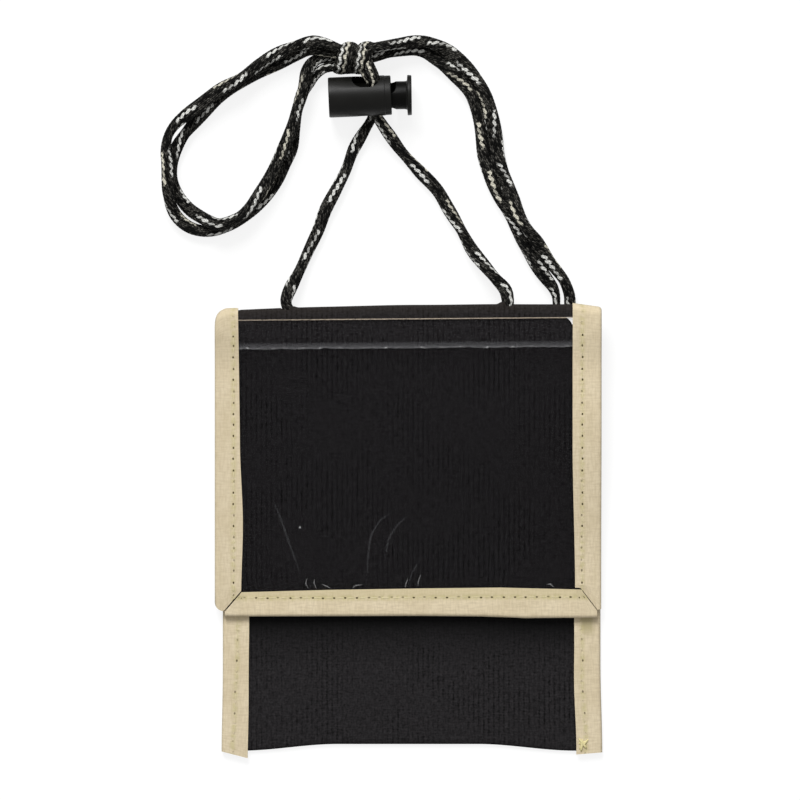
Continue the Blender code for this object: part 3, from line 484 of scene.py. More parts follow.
def black_canvas(name, shaded=False):
    """Plain canvas. On the pouch's own, a painted shadow darkens the cloth below the flap's bottom edge, more so to the
    right.
    """
    made = Nodes(name)
    u, v = made.apart(made.uv())
    height = weave(made, u, v, CANVAS_THREAD)
    slub, rib, cloud = made.stretched(420, 1700), made.stretched(1700, 420), made.stretched(45, 45, 3)
    grain = made.stretched(1500, 1500)
    # Here and there a heavier warp thread shows as a faint broken rib
    line = abs((u * (math.pi / 0.00166)).sine())
    ribs = line.ramp(0.8, 0.0) * cloud.ramp(0.4, 0.58) * made.stretched(500, 330).ramp(0.3, 0.6, 0.4, 1.0)
    weave_tone = slub.ramp(0.32, 0.68) * 0.3 + rib.ramp(0.32, 0.68) * 0.34 + grain.ramp(0.3, 0.7) * 0.42 - ribs * 0.42
    weave_tone *= cloud.ramp(0.2, 0.8, 0.9, 1.12)
    colour = made.mix(weave_tone, (0.0012, 0.001, 0.0012), (0.0315, 0.029, 0.031))
    # Round the fold the cloth is worn a little brown
    colour = made.mix(v.ramp(0.069, 0.075, 0.0, 0.5), colour, (0.021, 0.0155, 0.011))
    if shaded:
        # Painted shadow of the flap: darker below its bottom edge, reaching further down towards the right
        near = v + u.ramp(0.015, 0.035, 0.0, 0.0011)
        shadow_share = v.ramp(FLAP_BOTTOM - 0.0165, FLAP_BOTTOM - 0.008, 0.0, 0.36)
        shadow_share += near.ramp(FLAP_BOTTOM - 0.008, FLAP_BOTTOM - 0.0026, 0.0, 0.49)
        colour = made.mix(shadow_share, colour, (0.0012, 0.0012, 0.0013))
    made.bump(height + slub * 0.6, 0.00012, 0.8)
    return made.set(
        Base_Color=colour, Roughness=0.88, Specular_IOR_Level=0.12, Sheen_Weight=0.02, Sheen_Roughness=0.5,
    )


def tan_tape(name, seam, spacing, seldom=0.0, rim=0.0, stain=None, tone=1.0, first=None):
    """Woven tape. Its UVs are in metres: across from the inner edge, and along. Some holes can be closed up."""
    made = Nodes(name)
    u, v = made.apart(made.uv())
    height = weave(made, u, v, TAPE_THREAD)
    cloud, long_cloud = made.noise(60.0, made.uv(), 3), made.stretched(420, 45, 3)
    slub, rib = made.stretched(300, 1700, 3), made.stretched(1700, 300, 3)
    base = made.mix(cloud.ramp(0.3, 0.7), *dimmed(tone, (0.625, 0.53, 0.362), (0.705, 0.61, 0.44)))
    for share, colour in (
        (long_cloud.ramp(0.5, 0.8) * 0.4, (0.57, 0.49, 0.31)),
        (slub.ramp(0.42, 0.66) * 0.34, (0.48, 0.39, 0.25)),
        (rib.ramp(0.42, 0.66) * 0.34, (0.48, 0.39, 0.25)),
        # Painted shade: darker where the weave lies low
        (height.ramp(0.5, 0.0) * 0.22, (0.46, 0.37, 0.23)),
    ):
        base = made.mix(share, base, colour)
    if rim:
        # Between the seam and the inner edge the tape looks a little more olive
        base = made.mix(u.ramp(seam + 0.0012, seam - 0.0002, 0.0, rim), base, (0.56, 0.48, 0.27))
    # A patch of painted shade, olive, on the right body tape just below the flap's bottom right corner
    if stain:
        low_u, high_u, low_v, high_v = stain
        inside = u.ramp(low_u - 0.0006, low_u + 0.0007) * u.ramp(high_u + 0.0008, high_u - 0.0009)
        inside *= v.ramp(low_v - 0.0018, low_v + 0.0014)
        inside *= v.ramp(high_v + 0.0008, high_v - 0.0004)
        base = made.mix(inside * cloud.ramp(0.3, 0.7, 0.7, 0.95), base, (0.43, 0.37, 0.205))
    # Needle holes: small ovals along the seam, drawn in a little, made dark with painted shade
    count = v / spacing
    index = count.floor()
    depth, astray = made.chance(index), made.chance(index + 31.7)
    along = (count.fract() - astray.scaled(0.16, 0.42)) * spacing / HOLE_LENGTH
    across = (u - seam - depth.scaled(0.0003, -0.00015)) / HOLE_WIDTH
    hole = (along * along + across * across).ramp(1.3, 0.5)
    dark = hole * depth.ramp(seldom, seldom + 0.5, 0.0 if seldom else 0.35, 1.0)
    if first is not None:
        dark *= v.ramp(first + 0.0001, first - 0.0001)
    # Along the seam the tape puckers: its bump dips there, and painted shade darkens it olive
    pucker_with_shade = abs(u - seam).ramp(0.0013, 0.0003) * made.stretched(300, 700, 3).ramp(0.38, 0.6)
    base = made.mix(pucker_with_shade * 0.5, base, (0.48, 0.43, 0.19))
    base = made.mix(dark, base, (0.075, 0.056, 0.018))
    made.bump(height - hole * 4.0 - pucker_with_shade * 1.5, 0.00007, 0.7)
    return made.set(Base_Color=base, Roughness=0.82, Specular_IOR_Level=0.2, Sheen_Weight=0.05)


def steady_tracer(made, u, v, slim, centre, seed, start):
    """A pale yarn that wanders about one wale, broken up by the stitches."""
    wave = (v * math.pi + made.noise(1.0, made.vector(v * 0.45, start), 1) * 5.0).sine()
    off = abs((u - (centre - WALES / 2)) % float(WALES) - WALES / 2 - wave * 0.17)
    step = v + seed
    varied = made.chance(step.floor())
    line = (off - varied.scaled(0.24 * slim, 0.33 * slim)).ramp(0.12, -0.1)
    return line * abs(step.fract() - 0.5).ramp(0.5, 0.36, 0.15, 1.0) * varied.ramp(0.0, 0.6, 0.5, 1.0)


def long_tracers(made, u, v):
    """Four pale yarns, a quarter of the way round apart, in dashes that follow the wales. One of them is cream."""
    count = v / TRACER_DASH
    dash, part = count.floor(), count.fract()
    slip = WALES * STITCH * TRACER_DASH * (1 / TWIST - 1 / TRACER_PITCH)
    place = dash.scaled(slip, u) / (WALES / 4)
    which = place.floor() % 4.0
    wander = made.noise(1.0, made.vector(v * 0.13, which * 9.7), 1)
    zigzag = (part * math.tau).sine() * 0.1
    off = abs((place.fract() - 0.5) * (WALES / 4) - zigzag - wander.scaled(0.8, -0.4))
    varied = made.chance(dash, which)
    # A dash is pointed at both ends
    reach = varied.scaled(0.2, abs(part - 0.5).ramp(0.5, 0.15, 0.06, 0.32))
    line = (off - reach).ramp(0.08, -0.06)
    turn = v / TRACER_SHOWS + wander.scaled(0.5, which * 0.37)
    shown = abs(turn.fract() - 0.5).ramp(0.27, 0.24)
    seen = line * varied.ramp(0.0, 0.6, 0.5, 1.0) * shown
    cream = which.below(0.5)
    return seen * (1.0 - cream), seen * cream


def knit(name, position_along=False, slim=1.0, steady=False, apart=2.3):
    """Knitted cord. Its UVs count wales round it and stitches along it, which twist as it does."""
    made = Nodes(name)
    u, v = made.apart(made.uv())
    if position_along:
        v = made.apart(made.place())[1] / -STITCH
    out = abs(u.fract() - 0.5) * 2.0
    count = out.scaled(0.55, v) + (u.floor() % 2.0) * 0.5
    yarn = (count.fract() * math.pi).sine().root() * (out * math.pi).sine().ramp(0.0, 0.7)
    chance = made.chance((u * 2.0).floor(), count.floor())
    fibre = made.stretched(9, 2.5, 3)
    if steady:
        white = steady_tracer(made, u, v, slim, 1.2, 3.3, 0.5)
        cream = steady_tracer(made, u, v, slim, 1.2 + apart, 57.8, 7.7)
    else:
        white, cream = long_tracers(made, u, v)
    pale = white.maximum(cream) * fibre.ramp(0.28, 0.46, 0.5, 1.0)
    # Grey flecks by chance, strongest on each stitch's crest: flecked yarn, with a painted highlight on the crests
    fleck_and_crest_highlight = yarn ** 1.5 * chance.ramp(0.3, 0.95) * fibre.ramp(0.35, 0.6, 0.2, 1.0)
    black = made.mix(fleck_and_crest_highlight, (0.0022, 0.0021, 0.0019), (0.14, 0.134, 0.118))
    pale_colour = made.mix(cream.above(white), (0.8, 0.8, 0.76), (0.71, 0.68, 0.57))
    made.bump(yarn + fibre * 0.3 + pale, 0.00026, 0.9)
    return made.set(Base_Color=made.mix(pale, black, pale_colour), Roughness=0.75, Specular_IOR_Level=0.1)


def vinyl():
    """The clear sheet takes a little light away, and has a few specks in it."""
    made = Nodes("clear_vinyl")
    v = made.apart(made.uv())[1]
    made.bump(made.noise(25.0, made.uv()), 0.0006, 0.15)
    distance, cell = made.add("TexVoronoi", {"Vector": made.uv(), "Scale": 170.0}, ("Distance", "Color"))
    speck = distance.ramp(0.1, 0.04) * made.add("SeparateColor", {0: cell}).ramp(0.93, 0.95)
    # Above the weld the hem is clearer
    weld = y_at(345)
    alpha = v.ramp(weld - 0.0004, weld + 0.0004, 0.17, 0.06)
    return made.set(
        see_through=True, Base_Color=made.mix(speck, (0.004, 0.004, 0.0045), (0.3, 0.3, 0.3)),
        Roughness=made.noise(90.0, made.uv()).ramp(0.3, 0.7, 0.14, 0.24), Alpha=speck.scaled(0.4, alpha),
        Specular_IOR_Level=0.1,
    )


def glint_film(name, colour, alpha, low=0.25, high=0.75):
    """Pale film for painted highlights: on creases, along the cut top edge and on the turned-up corner."""
    made = Nodes(name)
    share = made.stretched(600, 2600, 3).ramp(low, high, 0.3, 1.0) * alpha
    return made.set(see_through=True, Base_Color=colour, Roughness=0.5, Alpha=share, Specular_IOR_Level=0.3)


def welded():
    """The welded line: hazy, stronger towards its ragged lower edge. Its UVs are metres across and 0 to 1 up."""
    made = Nodes("weld_haze")
    v = made.apart(made.uv())[1]
    ragged = made.stretched(90, 0, 3) * 0.4 + made.stretched(420, 0, 3) * 0.3 - 0.2
    lower = (v - ragged).ramp(-0.02, 0.1)
    share = lower * v.ramp(1.0, 0.25) * made.stretched(800, 5, 3).ramp(0.3, 0.7, 0.12, 0.4)
    rim = lower * (v - ragged).ramp(0.3, 0.16)
    spots = rim * made.stretched(330, 0).ramp(0.5, 0.66, 0.25, 1.0)
    return made.set(
        see_through=True, Base_Color=made.mix(spots, (0.17, 0.17, 0.18), (0.42, 0.42, 0.42)),
        Roughness=0.5, Alpha=share.maximum(spots * 0.5), Specular_IOR_Level=0.2,
    )


def moulded(name="lock_moulded", share=1.0):
    made = Nodes(name)
    cloud = made.noise(180.0, made.place(), 3)
    made.bump(made.noise(2600.0, made.place(), 3), 0.00003, 0.6)
    colours = dimmed(share, (0.0028, 0.0027, 0.0022), (0.0058, 0.0056, 0.0046))
    return made.set(
        Base_Color=made.mix(cloud, *colours), Roughness=cloud.ramp(0.2, 0.8, 0.38, 0.5),
        Specular_IOR_Level=0.22 * share,
    )


def thread_yarn(name, light, dark):
    made = Nodes(name)
    fine = made.noise(3500.0, made.place())
    made.bump(fine, 0.00005, 0.6)
    return made.set(Base_Color=made.mix(fine, light, dark), Roughness=0.65)


def fuzzy_black():
    made = Nodes("hook_loop_pile")
    fine = made.noise(2200.0, made.uv(), 3)
    made.bump(fine, 0.0003)
    return made.set(Base_Color=made.mix(fine, (0.004, 0.004, 0.004), (0.035, 0.034, 0.034)), Roughness=0.9)


def wire_steel():
    made = Nodes("spring_wire")
    fine = made.noise(900.0, made.place())
    return made.set(Base_Color=(0.62, 0.62, 0.6), Metallic=1.0, Roughness=fine.ramp(0.3, 0.7, 0.25, 0.4))


# Shapes


def shown(name, data):
    """A new object in the scene, with this mesh, lamp or camera."""
    made = bpy.data.objects.new(name, data)
    bpy.context.scene.collection.objects.link(made)
    return made


def object_of(name, points, faces, material, uvs=None):
    """A smooth mesh object. uvs has one pair for each corner of each face."""
    mesh = bpy.data.meshes.new(name)
    mesh.from_pydata([tuple(p) for p in points], [], [tuple(f) for f in faces])
    if uvs is not None:
        layer = mesh.uv_layers.new(name="UVMap")
        layer.uv.foreach_set("vector", np.asarray(uvs, np.float32).ravel())
    mesh.validate()
    mesh.shade_smooth()
    mesh.materials.append(material)
    return shown(name, mesh)


def grid_solid(name, lower, upper, uv, material, open_cells=False):
    """A closed solid between two grids of points of shape (rows, columns, 3), each point with its uv."""
    rows, columns = lower.shape[:2]
    count = rows * columns
    points = np.concatenate([lower.reshape(-1, 3), upper.reshape(-1, 3)])
    flat_uv = uv.reshape(-1, 2)
    used = np.ones((rows - 1, columns - 1), bool) & ~np.asarray(open_cells)
    r, c = np.nonzero(used)
    at = r * columns + c
    top = np.stack([at, at + 1, at + columns + 1, at + columns], 1)
    faces = [top + count, top[:, ::-1]]
    corner_uv = [flat_uv[top], flat_uv[top[:, ::-1]]]
    padded = np.pad(used, 1)
    for step_r, step_c, first, second in ((-1, 0, 0, 1), (0, 1, 1, 2), (1, 0, 2, 3), (0, -1, 3, 0)):
        edge = ~padded[r + 1 + step_r, c + 1 + step_c]
        near, far = top[edge, first], top[edge, second]
        faces.append(np.stack([near + count, near, far, far + count], 1))
        corner_uv.append(np.stack([flat_uv[near], flat_uv[near], flat_uv[far], flat_uv[far]], 1))
    made = object_of(name, points, np.concatenate(faces), material, np.concatenate(corner_uv))
    made.data.set_sharp_from_angle(angle=math.radians(40))
    return made


def loft_faces(rings, around, start=0):
    """The quads between rings of this many points each. start is the first point's number."""
    k = np.arange(around)
    after, r = (k + 1) % around, start + np.arange(rings - 1)[:, None] * around
    return stack(r + k, r + after, r + around + after, r + around + k).reshape(-1, 4)


def flap_place(x, y, turn, height):
    """Points over the flap, whose rows past the fold's crest go on round it. height is over the flap's rest."""
    flat = np.isnan(turn)
    angle = np.where(flat, 0, turn)
    radius = CAP_RADIUS + height - FLAP_TOP_Z
    out_y = np.where(flat, y, FOLD_Y + radius * np.cos(angle))
    over = height + flap_rise(y) + crown(x, y) + lift(x, y)
    round_z = FOLD_Z + radius * np.sin(angle) + lift(x, FOLD_Y)
    return stack(x, out_y, np.where(flat, over, round_z))


def flap_rows(low):
    """Rows from the flap's low edge up to the fold's crest and round it, as places and turns."""
    flat = np.append(np.arange(low, FOLD_Y - FLAP_ROW / 2, FLAP_ROW), FOLD_Y)
    turns = np.radians(np.arange(84, -91, -6.0))
    y = np.concatenate([flat, np.full(len(turns), FOLD_Y)])
    turn = np.concatenate([np.full(len(flat), np.nan), turns])
    along = np.concatenate([flat, FOLD_Y + CAP_RADIUS * (math.pi / 2 - turns)])
    return y, turn, along


def crest_drop(x, taped):
    """How much lower the top edge lies than TOP, at this place across the flap, from the photograph."""
    pixel = pixel_at(x)
    strip = 0.00165 * np.clip(1 - (pixel - 236) / 184, 0, 1) ** 1.6 - 0.00023 * smooth((pixel - 420) / 80)
    corner = 0.0047
    round_off = np.maximum(corner - (x - LEFT), 0)
    left = 0.0010 + corner - np.sqrt(np.maximum(corner**2 - round_off**2, 0))
    right = 0.0007 - 0.0012 * (RIGHT - x) / TAPE_WIDTH
    if taped:
        return np.where(x < 0, left, right)
    return np.where(pixel < 240, left + CLOTH_LOWER, np.where(pixel > 574, right + CLOTH_LOWER, strip))


def top_share(along):
    return smooth((along - 0.0595) / (FOLD_Y - 0.0595))


def tapered(x, along):
    """Across the flap, cloth and film draw in towards its bottom edge, to stay inside the mitred tapes."""
    return x * (1 - 0.06 * (1 - smooth((along - FLAP_BOTTOM) / 0.014)))


def eased(y):
    """From 0 at the hinge to 1 at the fold."""
    return smooth((y - HINGE_Y) / (FOLD_Y - HINGE_Y))


def cross_the_hinge(made):
    """The piece bends with the flap. It is still on the fold's side."""
    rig.blend(made, "pouch", "flap", start=(0, FOLD_Y, 0.0088), end=(0, 0.0655, 0.0088))
    return made


def flap_fabric(material):
    """The flap's cloth, in one with the fold that the cord runs through, with a slit for each leg."""
    exits = [x_at(287.5), x_at(506.5)]
    fine = [at + offset for at in exits for offset in np.arange(-FINE_REACH, FINE_REACH + 0.0001, 0.0003)]
    coarse = np.linspace(LEFT + TUCKED, RIGHT - TUCKED, 110)
    coarse = [x for x in coarse if min(abs(x - at) for at in exits) > FINE_REACH + 0.0002]
    y, turn, along = flap_rows(FLAP_BOTTOM + 0.0012)
    x, y = np.meshgrid(np.array(sorted(coarse + fine)), y)
    turn, along = (np.broadcast_to(v[:, None], x.shape) for v in (turn, along))
    high = FLAP_Z + FABRIC + eased(y) * (FLAP_TOP_Z - TAPE - 0.0001 - FLAP_Z - FABRIC) + ripple(x, y, *FLAP_RIPPLE)
    # Between the tapes the fold is full, and the cord draws the cloth up a little where it goes in
    free = smooth(np.minimum(x - x_at(238), x_at(573) - x) / 0.0006)
    high = high + 0.0005 * free * smooth((along - 0.0695) / (FOLD_Y - 0.0695))
    for at, away, rise in ((x_at(291), 1, 0.0011), (x_at(504.3), -1, 0.0023)):
        off = np.maximum((x - at) * away, -0.0006) / 0.0030
        drawn = np.where(off < 0, 1 - (off * 5) ** 2, np.maximum(1 - off, 0) ** 2)
        high = high + rise * drawn * smooth((along - FOLD_Y - 0.001) / 0.003)
    sheets = []
    for height in (high - FABRIC, high):
        points = flap_place(x, y, turn, height)
        points[..., 0] = tapered(x, along)
        points[..., 1] -= crest_drop(x, False) * top_share(along)
        sheets.append(points)
    middle = (along[:-1, :-1] + along[1:, 1:]) / 2
    angle = math.pi / 2 - (middle - FOLD_Y) / CAP_RADIUS
    centre = (x[:-1, :-1] + x[:-1, 1:]) / 2
    slits = [(2 * (centre - at) / SLIT_WIDTH) ** 2 + (angle / SLIT_TURN) ** 2 < 1 for at in exits]
    made = grid_solid("flap_cloth", *sheets, stack(x, along), material, (slits[0] | slits[1]) & (middle > FOLD_Y))
    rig.slot(made, "black_fabric")
    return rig.replaces(made, "flap_panel")


def arch(x):
    """How far the pouch's bottom edge curves up between the tapes."""
    reach = FLAP_WIDTH / 4
    return ARCH * (smooth((x - LEFT - TAPE_WIDTH) / reach) * smooth((RIGHT - TAPE_WIDTH - x) / reach))


def pouch_cloth(material):
    """The back panel up to the fold, and the pocket's front with its turned-down bottom edge."""
    xs = np.linspace(BODY_LEFT + TUCKED, BODY_RIGHT - TUCKED, 90)
    # At the sides the cloth lies between the tape's two layers
    inside = np.minimum(xs - BODY_LEFT, BODY_RIGHT - xs) - TAPE_WIDTH
    taped = 1 - np.clip((inside - 0.0001) / SETTLES, 0, 1)
    x, y = np.meshgrid(xs, np.linspace(-0.0709, FOLD_Y, 110))
    rise = 1 - (1 - taped) * (1 - smooth((y - MOUTH + TAPE_WIDTH) / TAPE_WIDTH))
    low = BACK_Z * rise + lift(x, y)
    arched = y + arch(x) * (1 - smooth((y - FOOT_Y) / ARCH_FADES))
    place_y = arched - (crest_drop(x, False) + CLOTH_LOWER) * top_share(y)
    sheets = [stack(x, place_y, low + z) for z in (0, FABRIC)]
    back = grid_solid("pouch_back_cloth", *sheets, stack(x, np.minimum(y, 0.06)), material)
    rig.slot(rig.ride(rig.replaces(back, "back_panel"), "pouch"), "black_fabric")

    ys = np.linspace(ROLL_Y, MOUTH, 110)
    x, y = np.meshgrid(xs, ys)
    bend = ripple(x, y, 0.016, 0.00016, 2.0) * smooth((y - ROLL_Y) / 0.01)
    low = FRONT_Z + lift(x, y) + crown(x, y) + np.maximum(bend, -0.0001)
    place_y = y + arch(x) * (1 - smooth((y - FOOT_Y) / ARCH_FADES))
    # The bottom edge rolls down in front of the back panel
    foot = np.clip(1 - inside / SETTLES, 0, 1) * BACK_Z
    sheets = []
    for radius, z in ((ROLL_INNER, low), (ROLL_INNER + FABRIC, low + FABRIC)):
        roll = [stack(xs, ROLL_Y - radius + arch(xs), foot)]
        for turn in np.radians(np.arange(180, 90, -15.0)):
            at_z = FRONT_Z - ROLL_INNER + radius * math.sin(turn)
            roll.append(stack(xs, ROLL_Y + radius * math.cos(turn) + arch(xs), np.full_like(xs, at_z)))
        sheets.append(np.concatenate([np.array(roll), stack(x, place_y, z)]))
    along = np.concatenate([np.linspace(-0.0732, -0.0713, len(roll)), ys])
    uv = stack(*np.broadcast_arrays(xs[None], along[:, None]))
    front = grid_solid("pocket_front_cloth", *sheets, uv, material)
    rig.slot(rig.ride(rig.replaces(front, "front_pocket_panel"), "pouch"), "black_fabric")


def tape_profile(low_z, high_z):
    """A tape folded round an edge: depth from the edge and height, for its skin and for its inner side."""
    half = (high_z - low_z) / 2
    middle = (high_z + low_z) / 2
    turns = np.radians(np.arange(90, 271, 22.5))
    depths = [TAPE_WIDTH * share for share in (1, 0.88, 0.77, 0.66, 0.55, 0.46, 0.38, 0.31, 0.25, 0.2, 0.15)]
    bend = [(half * (1 + math.cos(t) * 0.999), middle + half * math.sin(t)) for t in turns]
    skin = [(d, high_z) for d in depths] + bend + [(d, low_z) for d in depths[::-1]]
    inner_half = half - TAPE
    bend = [(half + inner_half * math.cos(t), middle + inner_half * math.sin(t)) for t in turns[::-1]]
    back = [(d, low_z + TAPE) for d in depths] + bend + [(d, high_z - TAPE) for d in depths[::-1]]
    return np.array(skin), np.array(back)


def tape_loft(name, outline, place, rows, material, u_of):
    """Skins a tape's outline along rows. place(row, depth, height) gives the points, u_of the UV across."""
    skin, back = outline
    ring = np.concatenate([skin, back])
    strip, count, depth = len(skin), len(ring), ring[:, 0]
    points = np.array([place(row, depth, ring[:, 1]) for row in rows]).reshape(-1, 3)
    across = np.array([u_of(row, depth) for row in rows])
    if skin[0, 0] == skin[-1, 0]:
        under = slice(strip // 2, strip)
        across[:, under] = 2 * TAPE_WIDTH - across[:, under]
    after, v = np.roll(across, -1, axis=1), np.broadcast_to(rows[:, None], across.shape)
    corners = stack(across[:-1], after[:-1], after[1:], across[1:]), stack(v[:-1], v[:-1], v[1:], v[1:])
    faces, uvs = [*loft_faces(len(rows), count)], [*stack(*corners).reshape(-1, 2)]
    # Its two ends
    last = (len(rows) - 1) * count
    for k in range(strip - 1):
        for base, r, step in ((0, 0, -1), (last, -1, 1)):
            faces.append((base + k, base + k + 1, base + count - 2 - k, base + count - 1 - k)[::step])
            uvs += [(across[r][k], rows[r])] * 4
    made = object_of(name, points, faces, material, uvs)
    made.data.set_sharp_from_angle(angle=math.radians(50))
    return made


def stitch_drift(inward, row):
    """How far the body tapes' stitch line wanders off, from the tape's inner edge."""
    share = np.clip((0.03 + row) / -0.04, 0, 1)
    if inward > 0:
        return -0.0010 + 0.0014 * share + 0.0001 * np.sin(row * 330)
    return -0.0022 + 0.0009 * share + 0.00014 * np.sin(row * 270)


def body_tapes(left_material, right_material):
    for name, edge, inward, slant, short, node, material in (
        ("pouch_tape_left", BODY_LEFT, 1, 0.0022, 0.0, "body_binding_left", left_material),
        ("pouch_tape_right", BODY_RIGHT, -1, 0.0007, 0.0012, "body_binding_right", right_material),
    ):
        end = -POUCH_LENGTH / 2 + short

        def place(row, depth, height):
            inner = depth / TAPE_WIDTH
            at_y = row + slant * (1 - inner) * (1 - smooth((row - end) / 0.012))
            foot = 1 - smooth((row - end) / 0.03)
            bulge = 0.00008 * np.sin(row * 190 + inward) * inner
            shift = -0.0004 * foot if inward > 0 else 0.0006 * foot - 0.0001 * (1 - foot) * inner
            x = edge + inward * (depth + bulge) + shift
            swell = np.where(height > FRONT_Z, crown(x, at_y), 0)
            return stack(x, at_y, height + lift(x, at_y) + swell)

        def u_of(row, depth):
            return TAPE_WIDTH - depth - stitch_drift(inward, row)

        rows = np.append(np.arange(end, MOUTH, BODY_ROW), MOUTH)
        made = tape_loft(name, tape_profile(0.0, BODY_TAPE_Z + TAPE), place, rows, material, u_of)
        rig.slot(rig.ride(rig.replaces(made, node), "pouch"), "tan_binding")


def tape_bulge(x_side, along):
    """The side tapes' widths, as shares of TAPE_WIDTH, from the photograph."""
    if x_side < 0:
        bow = 0.08 * smooth(1 - np.abs(along - 0.0035) / 0.025)
        return 1.01 - 0.117 * np.clip((along + 0.0195) / 0.093, 0, 1) ** 1.4 + bow
    return 1 + 0.105 * smooth((along + 0.0195) / 0.05)


def mitre(depth, reach, start, slope, rounding):
    """How far along its edge a mitred tape starts, at each depth from that edge: a rounded corner, then a slope."""
    inside = np.maximum(reach - depth, 0) / reach
    return start + np.maximum(depth - reach, 0) * slope + rounding * (1 - np.sqrt(np.maximum(1 - inside**2, 0)))


def flap_tapes(left_material, right_material, bottom_material):
    """The two side tapes, which run on over the fold, and the bottom tape, mitred to them."""
    skin, back = tape_profile(FLAP_LOW_Z, FLAP_TOP_Z)
    keep = len(skin) // 2 + 1
    for name, edge, inward, start, seam_off, node, material in (
        ("flap_tape_left", LEFT, 1, 0.0004, 0.0, "flap_binding_left", left_material),
        ("flap_tape_right", RIGHT, -1, 0.0018, 0.00016, "flap_binding_right", right_material),
    ):
        y, turn, along = flap_rows(FLAP_BOTTOM + TAPE_WIDTH + start)
        y, turn, along = np.append(FLAP_BOTTOM, y), np.append(np.nan, turn), np.append(FLAP_BOTTOM, along)

        def place(row, depth, height):
            k = int(np.argmin(np.abs(along - row)))
            x = edge + inward * (depth * tape_bulge(-inward, row))
            at_y = np.full_like(x, y[k])
            if k == 0 and inward > 0:
                at_y = FLAP_BOTTOM + mitre(depth, 0.0029, 0.0019, 1.16, 0.0030)
            elif k == 0:
                at_y = FLAP_BOTTOM + np.minimum(mitre(depth, 0.0013, 0.0024, 1.31, 0.0003), 0.0096)
            points = flap_place(x, at_y, np.full_like(x, turn[k]), height)
            points[:, 1] -= crest_drop(x, True) * top_share(row)
            return points

        def u_of(row, depth):
            return TAPE_WIDTH - depth * tape_bulge(-inward, row) + seam_off

        made = tape_loft(name, (skin[:keep], back[-keep:]), place, along, material, u_of)
        cross_the_hinge(made)
        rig.slot(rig.replaces(made, node), "tan_binding")
        lower = skin[keep - 1:], back[:len(back) - keep + 1]
        under = tape_loft(name + "_under", lower, place, along[along <= HINGE_Y], material, u_of)
        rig.slot(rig.ride(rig.replaces(under, node), "flap"), "tan_binding")

    def bottom_y(x, depth):
        """The bottom tape's outline is a little uneven in the photograph."""
        pixel, share = pixel_at(x), depth / TAPE_WIDTH
        low = np.interp(
            pixel, (222, 250, 420, 480, 515, 526, 540, 600), (0.1, 0.15, 0.33, 0.15, -0.25, -0.45, -0.38, -0.25),
        )
        high = np.interp(pixel, (240, 250, 330, 420, 500, 575, 590), (-0.5, -0.42, 0.3, 0.78, 1.05, 0.45, 0.3))
        return FLAP_BOTTOM + depth + (low * (1 - share) + high * share) * 0.001

    def place_bottom(row, depth, height):
        x = np.full_like(depth, row)
        up = bottom_y(x, depth) - FLAP_BOTTOM
        if row == LEFT:
            x = LEFT + 0.0028 + np.maximum(up - 0.0017, 0) / 1.16 + 0.0005
        elif row == RIGHT:
            x = RIGHT - 0.0010 - np.maximum(up - 0.0021, 0) / 1.31 - 0.00036
        at_y = bottom_y(x, depth)
        over = 0.00014 * smooth((x - x_at(569)) / 0.0010)
        return stack(x, at_y, height + over + crown(x, at_y) + lift(x, at_y))

    def u_bottom(row, depth):
        x = min(max(row, LEFT + 0.009), RIGHT - 0.009)
        return FLAP_BOTTOM + TAPE_WIDTH - bottom_y(np.full_like(depth, x), depth) + seam_rise(x)

    columns = np.concatenate([[LEFT], np.arange(LEFT + TAPE_WIDTH + 0.0009, RIGHT - 0.0082, BOTTOM_ROW), [RIGHT]])
    made = tape_loft("flap_tape_bottom", (skin, back), place_bottom, columns, bottom_material, u_bottom)
    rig.slot(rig.ride(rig.replaces(made, "flap_binding_bottom"), "flap"), "tan_binding")


def seam_rise(x):
    """The bottom tape's seam rises a little towards the right."""
    return 0.0003 * smooth((x + 0.03) / 0.06)


